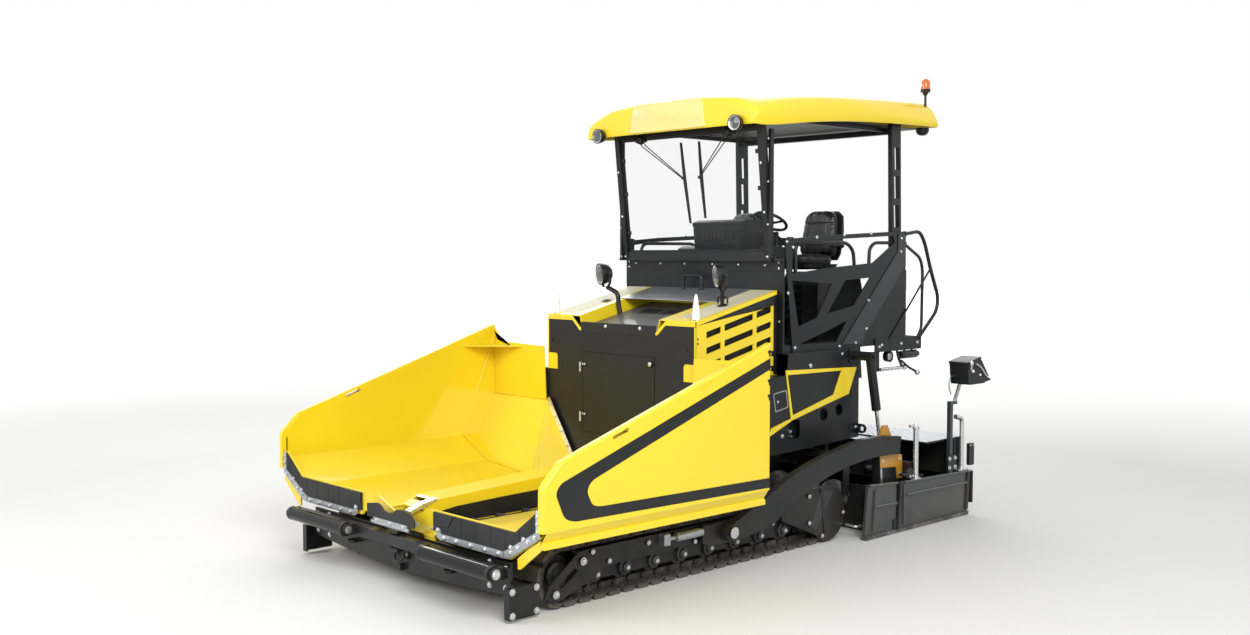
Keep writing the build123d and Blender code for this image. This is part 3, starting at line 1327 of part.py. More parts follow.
def build():
    """Make every node."""
    keep_pair("track", track())
    keep_both("track_frames", track_frame())
    keep_both("track_wheels", *track_wheels())
    keep_both("track_guards", track_guard(), tow_bracket(), sprocket_cover())
    keep("main_frame", main_frame())
    keep_both("wing_hinges", wing_hinge(), wing_cylinder_foot())
    keep("conveyor_beds", *conveyor_bed())
    keep("conveyor_slats", conveyor_slats())
    keep("conveyor_covers", chain_guard(), nose_plate())
    keep("front_beam", front_beam(), apron_bracket())
    keep_both("front_shields", front_shield())
    keep("push_beam", push_beam())
    keep_pair("push_roller", push_roller())
    rubber, bar, hub = front_flap()
    keep("front_flap", rubber)
    keep("front_flap_bar", bar + hub)
    keep_pair("wing_shell", *wing_shell())
    keep_pair("wing_cladding", wing_cladding())
    seal_lip, seal_clamp = wing_seal()
    keep_pair("wing_flap", wing_flap(), seal_lip)
    keep_pair("wing_strips", *wing_strips(), seal_clamp)
    wing_barrel, wing_rod = wing_cylinder()
    keep_pair("wing_cylinder_barrel", wing_barrel)
    keep_pair("wing_cylinder_rod", wing_rod)
    keep("hood_shell", hood_shell())
    keep("hood_front", hood_front())
    keep("hood_door", hood_door())
    keep("lamps", beacon(), *[work_light(-800, y, 150) for y in (-720, 720)])
    keep("side_body", side_body())
    keep_both("lift_brackets", lift_bracket(), rear_eye())
    keep_both("side_frames", side_frame())
    keep("engine", engine())
    keep("deck", deck(), *landing_bracket())
    keep_both("stand_sides", stand_side())
    keep("screen_frame", screen_frame())
    keep("windscreen", windscreen())
    keep("rear_posts", *rear_posts())
    keep_both("hand_rails", side_rail(), ladder_rail())
    nodes["hand_rails"] += solids_of(hood_handle())
    keep("canopy", canopy())
    keep("console", console())
    keep("steering_wheel", steering_wheel())
    keep_both("seats", *seat())
    keep_both("tow_arms", tow_arm())
    keep("screed_base", screed_base(), *guide_bearings(), walkway())
    keep("screed_extension_left", extension(1, GUIDE_LEFT_X))
    keep("screed_extension_right", extension(-1, GUIDE_RIGHT_X))
    keep_pair("end_gate", end_gate(), *gate_spindles(), control_stand())
    keep_pair("auger", auger())
    keep("auger_carrier", *auger_carrier())
    lift_barrel, lift_rod = lift_cylinder()
    keep_both("lift_cylinder_barrels", lift_barrel)
    keep_both("lift_cylinder_rods", lift_rod)
    keep_both("levelling_cylinders", *levelling_cylinder())


def write():
    """Centre the machine along X over its origin and write one STEP file per node."""
    os.makedirs("parts", exist_ok=True)
    boxes = [solid.bounding_box() for solids in nodes.values() for solid in solids]
    front = max(box.max.X for box in boxes)
    rear = min(box.min.X for box in boxes)
    shift = -(front + rear) / 2
    low = min(box.min.Z for box in boxes)
    print(f"front {front:.1f} rear {rear:.1f} shift {shift:.3f} lowest {low:.3f}")
    for name, solids in nodes.items():
        moved = [Pos(shift, 0, -low) * solid for solid in solids]
        export_step(Compound(moved) if len(moved) > 1 else moved[0], f"parts/{name}.step")


if __name__ == "__main__":
    build()
    write()
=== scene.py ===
# %% [markdown]
# # A tracked asphalt paver, dressed in Blender
#
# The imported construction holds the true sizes, the joints and every carrying piece.
# This notebook adds what a workshop adds last: paint, rubber, glass, bolts, pads and lamps.
# Every piece is placed by measures in metres from the middle of the tracks, and rides on a body.

# %% Load the frame and remember its box
import json
import math
import random

import bmesh
import bpy
from mathutils import Matrix, Vector


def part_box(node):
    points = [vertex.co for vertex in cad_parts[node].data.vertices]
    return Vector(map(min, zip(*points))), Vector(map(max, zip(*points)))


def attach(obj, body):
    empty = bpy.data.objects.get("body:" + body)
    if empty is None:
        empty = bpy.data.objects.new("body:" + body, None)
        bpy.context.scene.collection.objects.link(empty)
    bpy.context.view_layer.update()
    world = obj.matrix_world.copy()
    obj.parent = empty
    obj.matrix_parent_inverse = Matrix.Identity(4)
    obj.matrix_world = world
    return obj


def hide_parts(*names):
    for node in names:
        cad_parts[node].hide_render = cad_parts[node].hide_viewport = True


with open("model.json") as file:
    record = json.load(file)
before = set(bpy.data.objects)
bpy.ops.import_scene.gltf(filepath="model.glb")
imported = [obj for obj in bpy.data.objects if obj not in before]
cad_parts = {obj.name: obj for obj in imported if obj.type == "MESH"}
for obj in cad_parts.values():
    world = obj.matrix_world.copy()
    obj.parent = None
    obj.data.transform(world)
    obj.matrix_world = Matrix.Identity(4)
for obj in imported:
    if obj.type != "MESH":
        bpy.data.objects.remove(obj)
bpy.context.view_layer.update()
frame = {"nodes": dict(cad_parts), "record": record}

# %% [markdown]
# All long measures of a tracked machine start from the middle of its tracks, because that point
# stays put when a hand rail or a roller changes. `at` turns such a measure into a place in the frame.

# %% A place measured from the middle of the tracks
track_low, track_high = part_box("track_left")
MIDDLE = (track_low.x + track_high.x) / 2


def at(forward, left, up):
    """A point measured forward from the middle of the tracks, to the left and up."""
    return Vector((MIDDLE + forward, left, up))


print("middle of the tracks at", round(MIDDLE, 4))

# %% [markdown]
# The camera stands at eye height ahead and to the left, with a lens a little wider than normal.
# A camera in Blender looks down its own -Z, so a tracked quaternion points it along a direction.

# %% Camera
CAMERA_PLACE = (6.7038, 7.5663, 2.3716)
CAMERA_HEADING = -2.3262
CAMERA_TILT = -0.0517
CAMERA_LENS = 36.17

camera = bpy.data.objects.new("camera", bpy.data.cameras.new("camera"))
bpy.context.scene.collection.objects.link(camera)
camera.data.sensor_width = 36
camera.data.lens = CAMERA_LENS
camera.data.clip_end = 200
camera.location = at(*CAMERA_PLACE)
level = math.cos(CAMERA_TILT)
view_line = Vector((level * math.cos(CAMERA_HEADING), level * math.sin(CAMERA_HEADING), math.sin(CAMERA_TILT)))
camera.rotation_mode = "QUATERNION"
camera.rotation_quaternion = view_line.to_track_quat("-Z", "Y")
bpy.context.scene.camera = camera
print("camera", [round(value, 3) for value in camera.location])

# %% [markdown]
# ## Writing shader maths as plain sums
#
# A material in Blender is a graph of nodes. Written link by link, a simple sum takes four lines.
# `Wire` wraps one socket and gives it the usual operators, so `1 - mask * 0.5` adds its Math nodes.
# `Graph` holds a tree of nodes, and its `add` makes any other node from a type, settings and inputs.
# `Finish` is the graph of one material.

# %% Wires, graphs and finishes
class Wire:
    """One output socket, with the operators that build Math nodes."""

    def __init__(self, graph, socket):
        self.graph = graph
        self.socket = socket

    def math(self, operation, *values):
        return self.graph.add("ShaderNodeMath", {"operation": operation}, *values)

    def __add__(self, other):
        return self.math("ADD", self, other)

    def __sub__(self, other):
        return self.math("SUBTRACT", self, other)

    def __rsub__(self, other):
        return self.math("SUBTRACT", other, self)

    def __mul__(self, other):
        return self.math("MULTIPLY", self, other)

    __radd__ = __add__
    __rmul__ = __mul__

    def clamp(self):
        return self.math("MINIMUM", self.math("MAXIMUM", self, 0.0), 1.0)


class Graph:
    """A tree of nodes and the ways to add to it."""

    def __init__(self, tree):
        self.tree = tree

    def link(self, source, socket):
        if isinstance(source, Wire):
            self.tree.links.new(source.socket, socket)
        else:
            socket.default_value = source

    def add(self, kind, settings=None, *values, out=0, **named):
        """A node of a kind, its settings made first, with values or wires on its sockets."""
        node = self.tree.nodes.new(kind)
        for key, value in (settings or {}).items():
            setattr(node, key, value)
        for index, value in enumerate(values):
            if value is not None:
                self.link(value, node.inputs[index])
        for label, value in named.items():
            self.link(value, node.inputs[label.replace("_", " ")])
        return Wire(self, node.outputs[out])

    def spread(self, value, low, high, first=0.0, last=1.0):
        """A value stretched from one range to another, and held at its ends."""
        return self.add("ShaderNodeMapRange", {"clamp": True}, value, low, high, first, last)


COLOUR_MODE = [None] * 5  # sockets of a Mix node that its colour mode doesn't use


class Finish(Graph):
    """One material: its principled shader and the nodes that feed it."""

    def __init__(self, name):
        self.material = bpy.data.materials.new(name)
        self.material.use_nodes = True
        super().__init__(self.material.node_tree)
        self.shader = self.tree.nodes["Principled BSDF"]

    def set(self, **named):
        """Values or wires for the principled shader's own sockets."""
        for label, value in named.items():
            self.link(value, self.shader.inputs[label.replace("_", " ")])
        return self

    def place(self):
        """Place on the piece in metres, the same at any size of mesh."""
        return self.add("ShaderNodeTexCoord", out="Object")

    def noise(self, scale, detail=3.0, rough=0.5, place=None):
        return self.add("ShaderNodeTexNoise", None, Vector=place or self.place(), Scale=scale,
                        Detail=detail, Roughness=rough)

    def blend(self, mask, first, second):
        """Colour that goes from first to second as the mask goes from 0 to 1."""
        return self.add("ShaderNodeMix", {"data_type": "RGBA"}, mask, *COLOUR_MODE, first, second, out=2)

    def bump(self, height, strength, distance):
        return self.add("ShaderNodeBump", None, Strength=strength, Distance=distance, Height=height)


def srgb(red, green, blue):
    """A display colour of 0 to 255 in the linear light that shaders use."""
    linear = []
    for value in (red, green, blue):
        share = value / 255
        linear.append(share / 12.92 if share <= 0.04045 else ((share + 0.055) / 1.055) ** 2.4)
    return (*linear, 1.0)


print("shader helpers ready")

# %% [markdown]
# ## Floor and light
#
# A plain pale floor keeps the machine's shadow. Soft square lamps stand round it as in a studio: a key
# beside the camera, a fill ahead, a rim behind and a small one that makes the rollers glint. The world
# is a dim white for scattered light, and plain white where the camera, a mirror or a pane looks at it.

# %% Floor, world and lamps
FLOOR_HALF = 60.0

floor_mesh = bpy.data.meshes.new("studio_floor")
corners = [(x * FLOOR_HALF, y * FLOOR_HALF, 0) for x, y in ((-1, -1), (1, -1), (1, 1), (-1, 1))]
floor_mesh.from_pydata(corners, [], [(0, 1, 2, 3)])
floor = bpy.data.objects.new("studio_floor", floor_mesh)
bpy.context.scene.collection.objects.link(floor)

NEAR_FLOOR, FAR_FLOOR = 6.5, 22.0  # the floor turns white between these distances

pale = Finish("pale_floor")
speckle = pale.spread(pale.noise(60.0, 4.0), 0.3, 0.7, 0.0, 1.0)
from_machine = pale.add("ShaderNodeVectorMath", {"operation": "LENGTH"}, pale.place(), out=1)
fade = pale.spread(from_machine, NEAR_FLOOR, FAR_FLOOR) * pale.add("ShaderNodeLightPath", out=0)
pale.set(Base_Color=pale.blend(speckle, srgb(216, 216, 214), srgb(222, 222, 220)), Roughness=0.9,
         Emission_Color=pale.blend(fade, (0, 0, 0, 1), (1, 1, 1, 1)))
pale.shader.inputs["Emission Strength"].default_value = 1.0
pale.shader.inputs["Specular IOR Level"].default_value = 0.2
floor_mesh.materials.append(pale.material)

world = bpy.data.worlds.new("studio_world")
bpy.context.scene.world = world
world.use_nodes = True
SCATTERED = 0.62  # strength of the world for scattered light
sky = Graph(world.node_tree)
seen = sky.add("ShaderNodeLightPath", out="Is Camera Ray")
for ray in ("Is Glossy Ray", "Is Transmission Ray"):
    seen = seen.math("MAXIMUM", seen, sky.add("ShaderNodeLightPath", out=ray))
backdrop = sky.tree.nodes["Background"]
sky.link(sky.spread(seen, 0.0, 1.0, SCATTERED, 1.0), backdrop.inputs["Strength"])
sky.link((1, 1, 1, 1), backdrop.inputs["Color"])


def soft_lamp(name, place, target, size, watts):
    """A square lamp at a place, turned to a target."""
    lamp = bpy.data.objects.new(name, bpy.data.lights.new(name, "AREA"))
    bpy.context.scene.collection.objects.link(lamp)
    lamp.data.shape = "SQUARE"
    lamp.data.size = size
    lamp.data.energy = watts
    lamp.location = at(*place)
    lamp.rotation_mode = "QUATERNION"
    lamp.rotation_quaternion = (at(*target) - lamp.location).to_track_quat("-Z", "Y")


HOOD_HEIGHT = 1.6
soft_lamp("key", (4.5, 9.0, 7.5), (0, 0, HOOD_HEIGHT), 5.0, 900)
soft_lamp("fill", (9.5, -2.5, 5.0), (0, 0, HOOD_HEIGHT), 5.0, 420)
soft_lamp("glint", (-1.4, -7.0, 5.6), (1.9, 0.9, 0.34), 1.8, 130)
soft_lamp("rim", (-8.0, -6.0, 8.0), (0, 0, HOOD_HEIGHT), 9.0, 460)
bpy.context.scene.view_settings.view_transform = "Standard"

# %% [markdown]
# ## Paints, rubber, steel and glass
#
# A sprayed machine paint is an even colour under a clear gloss. Up close the colour drifts a little,
# dust sits in the low and flat places, and an orange-peel ripple breaks up the reflections.
# The same few noises, at different scales, make all of them, so each finish is one short function.

# %% Machine paint
DUST = srgb(150, 141, 126)


def dusty(finish, strength, reach=0.9):
    """Mask of dust: strongest near the ground, on upward faces and in soft patches."""
    normal = finish.add("ShaderNodeNewGeometry", out="Normal")
    facing = finish.add("ShaderNodeSeparateXYZ", None, normal, out=2)
    height = finish.add("ShaderNodeSeparateXYZ", None, finish.place(), out=2)
    low = finish.spread(height, 0.0, reach, 1.0, 0.12)
    patches = finish.spread(finish.noise(1.7, 5.0, 0.62), 0.36, 0.7)
    upward = finish.spread(facing, -0.2, 1.0, 0.35, 1.0)
    return (low * patches * upward * strength).clamp()


def paint(name, color, gloss, drift=0.05, dust=0.35, soft=0.002, lacquer=0.6, shine=0.5):
    """A sprayed coat: drifting colour, dust near the ground, orange peel and a clear gloss."""
    coat = Finish(name)
    shade = tuple(channel * (1 - drift) for channel in color[:3]) + (1.0,)
    cloud = coat.spread(coat.noise(0.9, 3.0), 0.3, 0.7)
    tone = coat.blend(cloud, color, shade)
    powder = dusty(coat, dust)
    fine = coat.spread(coat.noise(140.0, 3.0), 0.35, 0.65)
    smear = coat.spread(coat.noise(6.0, 6.0, 0.6), 0.3, 0.75)
    peel = coat.noise(90.0, 2.0)
    edge = coat.add("ShaderNodeBevel", {"samples": 4}, soft)
    bump = coat.add("ShaderNodeBump", None, Strength=0.05, Distance=0.0006, Height=peel, Normal=edge)
    coat.set(Base_Color=coat.blend(powder, tone, DUST),
             Roughness=gloss + 0.10 * smear + 0.05 * fine + 0.35 * powder, Normal=bump)
    coat.shader.inputs["Coat Weight"].default_value = lacquer
    coat.shader.inputs["Coat Roughness"].default_value = 0.08
    coat.shader.inputs["Specular IOR Level"].default_value = shine
    return coat.material


yellow_paint = paint("yellow_paint", srgb(241, 212, 28), 0.30, drift=0.04, dust=0.25)
pale_yellow = paint("pale_yellow", srgb(238, 218, 138), 0.26, drift=0.03, dust=0.10)
pan_steel = paint("pan_steel", srgb(74, 76, 77), 0.38, drift=0.15, dust=0.2, lacquer=0.3)
cream_mat = paint("cream_mat", srgb(204, 198, 172), 0.55, drift=0.06, dust=0.15, lacquer=0.1)
charcoal_paint = paint("charcoal_paint", srgb(22, 24, 27), 0.32, drift=0.12, dust=0.22, lacquer=0.1, shine=0.32)
gloss_black = paint("gloss_black", srgb(12, 13, 15), 0.12, drift=0.05, dust=0.02, lacquer=0.0, shine=0.3)
brace_grey = paint("brace_grey", srgb(46, 48, 51), 0.34, drift=0.08, dust=0.1, lacquer=0.1, shine=0.4)
chassis_paint = paint("chassis_paint", srgb(36, 41, 45), 0.42, drift=0.12, dust=0.5, lacquer=0.2)
print("paints made")

# %% [markdown]
# Rubber is matt with a moulded grain and grey dust. Galvanised steel shows spangles, flat crystals of
# slightly different grey, so a Voronoi texture gives each cell its own tone and gloss. Cast and rolled
# steel is rough and brown-grey, with a brighter wear where the ground or the asphalt rubs it.

# %% Rubber, plastic and vinyl
def matt(name, color, rough, grain, depth, dust=0.4, spread=0.12):
    """Moulded rubber or plastic: an even dark colour with a fine grain and dust."""
    skin = Finish(name)
    powder = dusty(skin, dust)
    pale = tuple(min(1.0, channel * 1.6 + 0.004) for channel in color[:3]) + (1.0,)
    patch = skin.spread(skin.noise(3.2, 5.0, 0.6), 0.3, 0.75)
    fine = skin.noise(grain, 4.0, 0.55)
    skin.set(Base_Color=skin.blend(powder, skin.blend(patch, color, pale), srgb(128, 122, 112)),
             Roughness=rough + spread * patch + 0.3 * powder, Normal=skin.bump(fine, 0.5, depth))
    skin.shader.inputs["Specular IOR Level"].default_value = 0.35
    return skin.material


black_rubber = matt("black_rubber", srgb(25, 26, 28), 0.55, 260.0, 0.0009, dust=0.45)
black_plastic = matt("black_plastic", srgb(19, 20, 22), 0.34, 900.0, 0.0005, dust=0.22)
pad_rubber = matt("pad_rubber", srgb(70, 64, 58), 0.72, 190.0, 0.0016, dust=0.9)


def vinyl(name, color):
    """Covering of the seats: leather-like cells pressed into a soft, slightly glossy skin."""
    skin = Finish(name)
    cells = skin.add("ShaderNodeTexVoronoi", {"feature": "DISTANCE_TO_EDGE"}, Vector=skin.place(), Scale=420.0)
    creases = skin.spread(cells, 0.0, 0.22)
    wear = skin.spread(skin.noise(7.0, 5.0), 0.35, 0.75)
    pale = tuple(min(1.0, channel * 1.9 + 0.003) for channel in color[:3]) + (1.0,)
    skin.set(Base_Color=skin.blend(0.55 * wear, color, pale), Roughness=0.27 + 0.14 * wear,
             Normal=skin.bump(creases + 0.4 * skin.noise(60.0, 3.0), 0.45, 0.0006))
    skin.shader.inputs["Sheen Weight"].default_value = 0.08
    return skin.material


seat_vinyl = vinyl("seat_vinyl", srgb(15, 15, 17))
print("rubber, plastic and vinyl made")

# %% Steels, chrome and glass
def galvanised(name, color, low, high):
    """Zinc coat with spangles of different tone and gloss, scratched along and dusty in patches."""
    coat = Finish(name)
    cell = coat.add("ShaderNodeTexVoronoi", None, Vector=coat.place(), Scale=70.0, out="Color")
    tone = coat.add("ShaderNodeSeparateColor", None, cell, out=0)
    stretched = coat.add("ShaderNodeMapping", None, Vector=coat.place(), Scale=(14.0, 240.0, 240.0))
    streak = coat.spread(coat.noise(1.0, 4.0, place=stretched), 0.35, 0.7)
    dull = tuple(channel * 0.62 for channel in color[:3]) + (1.0,)
    powder = dusty(coat, 0.35)
    coat.set(Base_Color=coat.blend(powder, coat.blend(tone * 0.5 + 0.3 * streak, color, dull), srgb(140, 134, 124)),
             Metallic=0.9 - 0.7 * powder, Roughness=low + (high - low) * (0.6 * tone + 0.4 * streak),
             Normal=coat.bump(tone + 0.5 * streak, 0.2, 0.0004))
    return coat.material


zinc_steel = galvanised("zinc_steel", srgb(190, 194, 198), 0.28, 0.5)
bolt_zinc = galvanised("bolt_zinc", srgb(226, 228, 230), 0.2, 0.34)
bright_chrome = galvanised("bright_chrome", srgb(232, 233, 235), 0.05, 0.12)
gate_steel = paint("gate_steel", srgb(46, 50, 54), 0.36, drift=0.25, dust=0.45, lacquer=0.3)


def worn_steel(name, color, bright, rough, scale=11.0, share=0.5):
    """Rolled or cast steel: rough brown-grey skin, rubbed bright in patches."""
    steel = Finish(name)
    patch = steel.spread(steel.noise(scale, 6.0, 0.65), share, share + 0.18)
    grain = steel.noise(150.0, 5.0, 0.6)
    rust = steel.spread(steel.noise(scale * 0.45, 6.0, 0.7), 0.52, 0.8)
    powder = dusty(steel, 0.5)
    base = steel.blend(rust * 0.45, steel.blend(patch, color, bright), srgb(96, 66, 44))
    steel.set(Base_Color=steel.blend(powder, base, srgb(120, 112, 100)), Metallic=0.35 + 0.5 * patch - 0.3 * powder,
              Roughness=rough - 0.22 * patch + 0.1 * grain, Normal=steel.bump(grain, 0.5, 0.0012))
    return steel.material


track_steel = worn_steel("track_steel", srgb(58, 55, 52), srgb(120, 116, 110), 0.68)
blade_steel = worn_steel("blade_steel", srgb(70, 70, 72), srgb(140, 140, 142), 0.55, 5.0, 0.45)
engine_grey = worn_steel("engine_grey", srgb(70, 72, 74), srgb(96, 98, 100), 0.6, 8.0, 0.6)


def clear(name, color, rough, alpha):
    """A clear pane: mostly see-through, with a clean gloss and the faint film of the last rain."""
    pane = Finish(name)
    film = pane.spread(pane.noise(2.4, 5.0, 0.6), 0.35, 0.7)
    pane.set(Base_Color=pane.blend(film, color, srgb(120, 126, 126)), Roughness=rough + 0.03 * film,
             Alpha=alpha + 0.02 * film)
    pane.shader.inputs["Coat Weight"].default_value = 0.4
    pane.shader.inputs["Coat Roughness"].default_value = 0.02
    return pane.material


clear_glass = clear("clear_glass", srgb(60, 66, 66), 0.02, 0.035)
lamp_glass = clear("lamp_glass", srgb(30, 32, 35), 0.04, 0.72)


def lens(name, color, pale, ribs):
    """A ribbed plastic lens, lit through by its own colour."""
    cap = Finish(name)
    stretched = cap.add("ShaderNodeMapping", None, Vector=cap.place(), Scale=(ribs, ribs, ribs * 0.2))
    wave = cap.add("ShaderNodeTexWave", None, Vector=stretched, Scale=1.0, out="Fac")
    cap.set(Base_Color=cap.blend(wave, color, pale), Roughness=0.12 + 0.1 * wave, Normal=cap.bump(wave, 0.4, 0.0008))
    cap.shader.inputs["Coat Weight"].default_value = 0.8
    cap.shader.inputs["Subsurface Weight"].default_value = 0.15
    return cap.material


amber_lens = lens("amber_lens", srgb(188, 88, 12), srgb(214, 116, 26), 60.0)
white_cap = lens("white_cap", srgb(232, 234, 232), srgb(246, 246, 246), 25.0)
print("steels, chrome and glass made")

# %% [markdown]
# ## Building meshes from outlines
#
# Most pieces of a machine are plates, turned parts, bent bars and bolts. `Form` gathers such shapes in
# one bmesh. Its measures start from the middle of the tracks, in metres, and `done` turns it into
# an object on a body. A slab has any outline and any holes; a turned part has a profile; a bar has a path.

# %% Form, a mesh in the making
AXES = {"x": (1, 2, 0), "y": (0, 2, 1), "z": (0, 1, 2)}  # two numbers across each axis, then its own
AHEAD, LEFT, UP = (1, 0, 0), (0, 1, 0), (0, 0, 1)
BACK, RIGHT, DOWN = (-1, 0, 0), (0, -1, 0), (0, 0, -1)
SIDES = (("left", 1), ("right", -1))
MOST_OF_HALF = 0.48  # share of an edge that a rounded corner may take
NEEDLE = 0.0004  # least radius of a turned part's point
SAME_POINT = 0.00005  # points nearer than this are one


def spot(axis, first, second, along):
    """A point from its two coordinates across an axis and the one along it."""
    point = [0.0, 0.0, 0.0]
    for index, value in zip(AXES[axis], (first, second, along)):
        point[index] = value
    return Vector(point)


def cut_corner(before, corner, after, radius, steps):
    """The arc that cuts a corner, or the corner itself where it stays sharp."""
    back, ahead = before - corner, after - corner
    reach = min(radius, back.length * MOST_OF_HALF, ahead.length * MOST_OF_HALF)
    if reach <= 0:
        return [corner]
    start, end = corner + back.normalized() * reach, corner + ahead.normalized() * reach
    shares = [step / steps for step in range(steps + 1)]
    return [start * (1 - t) ** 2 + corner * 2 * t * (1 - t) + end * t ** 2 for t in shares]


def rounded(points, radius, steps=4):
    """A closed outline with its corners cut to arcs; radius is one number or one for each corner."""
    corners = [Vector(point) for point in points]
    radii = radius if isinstance(radius, (list, tuple)) else [radius] * len(corners)
    outline = []
    for index, corner in enumerate(corners):
        after = corners[(index + 1) % len(corners)]
        outline += cut_corner(corners[index - 1], corner, after, radii[index], steps)
    return outline


def rect(u0, v0, u1, v1, radius=0.0, steps=4):
    """A rectangle between two opposite corners."""
    return rounded([(u0, v0), (u1, v0), (u1, v1), (u0, v1)], radius, steps)


def oblong(x, y, length, height, radius, slope=0.0):
    """A rounded rectangle round a middle point, whose long side may slope."""
    halves = [(length / 2 * u, height / 2 * v) for u, v in ((-1, -1), (1, -1), (1, 1), (-1, 1))]
    return rounded([(x + u, y + v + u * slope) for u, v in halves], radius, 3)


def circle(middle, side, other, radius, steps):
    """Points round a middle, in the plane of two directions."""
    angles = [2 * math.pi * k / steps for k in range(steps)]
    return [middle + (side * math.cos(a) + other * math.sin(a)) * radius for a in angles]


def direction(path, index):
    """Direction of a path at one of its points."""
    return (path[min(index + 1, len(path) - 1)] - path[max(index - 1, 0)]).normalized()


def plain_name(material):
    """A finish's own name: Blender numbers it where the frame already has one of that name."""
    return material.name.split(".")[0]


class Form:
    """Shapes gathered in one mesh, measured from the middle of the tracks."""

    def __init__(self):
        self.mesh = bmesh.new()

    def rings(self, rings, closed=True, caps=True):
        """A skin through rings of points that all have the same count."""
        rows = [[self.mesh.verts.new(point) for point in ring] for ring in rings]
        for row, following in zip(rows, rows[1:]):
            for k in range(len(row) if closed else len(row) - 1):
                m = (k + 1) % len(row)
                self.mesh.faces.new((row[k], row[m], following[m], following[k]))
        if caps:
            self.mesh.faces.new(rows[0])
            self.mesh.faces.new(rows[-1])
        return self

    def slab(self, axis, low, high, outline, *holes):
        """A plate across an axis, from low to high, with an outline and holes."""
        loops = []
        edges = []
        for loop in (outline, *holes):
            row = [self.mesh.verts.new(spot(axis, u, v, low)) for u, v in loop]
            loops.append(row)
            edges += [self.mesh.edges.new((row[k], row[(k + 1) % len(row)])) for k in range(len(row))]
        if holes:
            made = bmesh.ops.triangle_fill(self.mesh, edges=edges, use_beauty=True)["geom"]
            floor_faces = [item for item in made if isinstance(item, bmesh.types.BMFace)]
        else:
            floor_faces = [self.mesh.faces.new(loops[0])]
        partner = {}
        for row in loops:
            for vert in row:
                raised = vert.co.copy()
                raised[AXES[axis][2]] = high
                partner[vert] = self.mesh.verts.new(raised)
        for face in floor_faces:
            self.mesh.faces.new([partner[vert] for vert in face.verts])
        for row in loops:
            for k, vert in enumerate(row):
                other = row[(k + 1) % len(row)]
                self.mesh.faces.new((vert, other, partner[other], partner[vert]))
        return self

    def box(self, x0, x1, y0, y1, z0, z1):
        return self.slab("z", z0, z1, rect(x0, y0, x1, y1))

    def turn(self, foot, way, profile, steps=24):
        """A turned part: profile points are (distance along way, radius)."""
        way = Vector(way).normalized()
        side = way.orthogonal().normalized()
        other = way.cross(side)
        return self.rings([circle(Vector(foot) + way * distance, side, other, max(radius, NEEDLE), steps)
                           for distance, radius in profile])

    def bar(self, points, radius, steps=12, corner=0.0, arc=5):
        """A round bar along a path whose corners are rounded."""
        path = [Vector(point) for point in points]
        if corner:
            smooth = [path[0]]
            for before, here, after in zip(path, path[1:], path[2:]):
                smooth += cut_corner(before, here, after, corner, arc)
            path = smooth + [path[-1]]
        side = (path[1] - path[0]).orthogonal().normalized()
        rings = []
        for index, point in enumerate(path):
            ahead = direction(path, index)
            side = (side - ahead * side.dot(ahead)).normalized()
            size = radius(index / (len(path) - 1)) if callable(radius) else radius
            rings.append(circle(point, side, ahead.cross(side), size, steps))
        return self.rings(rings)

    def strip(self, points, width, thick, way=LEFT):
        """A flat bar along a path: width goes across, thick away from the path's plane."""
        path = [Vector(point) for point in points]
        across = Vector(way).normalized() * width / 2
        rings = []
        for index, point in enumerate(path):
            lift = direction(path, index).cross(across).normalized() * thick / 2
            rings.append([point + across * u + lift * v for u, v in ((-1, -1), (1, -1), (1, 1), (-1, 1))])
        return self.rings(rings)

    def bolt(self, place, way, size=0.012):
        """A hexagon head on its washer; size is half of its width."""
        way = Vector(way)
        washer = [(-0.002, size * 1.45), (size * 0.22, size * 1.45), (size * 0.24, size * 1.3)]
        head = [(size * 0.2, size * 1.1), (size * 0.85, size * 1.1), (size * 1.0, size * 0.85)]
        return self.turn(place, way, washer, 14).turn(place, way, head, 6)

    def bolts(self, places, way, size=0.012):
        for place in places:
            self.bolt(place, way, size)
        return self

    def mirror(self):
        """Adds the same shapes on the machine's right."""
        shapes = self.mesh.verts[:] + self.mesh.edges[:] + self.mesh.faces[:]
        for item in bmesh.ops.duplicate(self.mesh, geom=shapes)["geom"]:
            if isinstance(item, bmesh.types.BMVert):
                item.co.y = -item.co.y
        return self

    def done(self, name, material, body="chassis", side=1, slot="", edge=0.0, sharp=35, level=0, thick=0.0):
        """The object: side -1 puts it on the right, edge rounds its corners, level subdivides it."""
        for vert in self.mesh.verts:
            vert.co.x += MIDDLE
            vert.co.y *= side
        bmesh.ops.remove_doubles(self.mesh, verts=self.mesh.verts, dist=SAME_POINT)
        bmesh.ops.recalc_face_normals(self.mesh, faces=self.mesh.faces)
        data = bpy.data.meshes.new(name)
        self.mesh.to_mesh(data)
        self.mesh.free()
        piece = bpy.data.objects.new(name, data)
        bpy.context.scene.collection.objects.link(piece)
        data.materials.append(material)
        for face in data.polygons:
            face.use_smooth = True
        data.set_sharp_from_angle(angle=math.radians(sharp))
        if thick:
            shell = piece.modifiers.new("thickness", "SOLIDIFY")
            shell.thickness = thick
            shell.offset = -1
        if level:
            soft = piece.modifiers.new("smooth skin", "SUBSURF")
            soft.levels = soft.render_levels = level
        if edge:
            rim = piece.modifiers.new("rounded edges", "BEVEL")
            rim.width = edge
            rim.segments = 2
            rim.limit_method = "ANGLE"
            rim.angle_limit = math.radians(40)
            rim.harden_normals = True
        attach(piece, body)
        return piece


def stamp(form, pattern, frames):
    """Adds a copy of a pattern at each frame, then lets the pattern go."""
    data = bpy.data.meshes.new("pattern")
    pattern.mesh.to_mesh(data)
    pattern.mesh.free()
    for matrix in frames:
        before = len(form.mesh.verts)
        form.mesh.from_mesh(data)
        form.mesh.verts.ensure_lookup_table()
        bmesh.ops.transform(form.mesh, matrix=matrix, verts=form.mesh.verts[before:])
    bpy.data.meshes.remove(data)
    return form


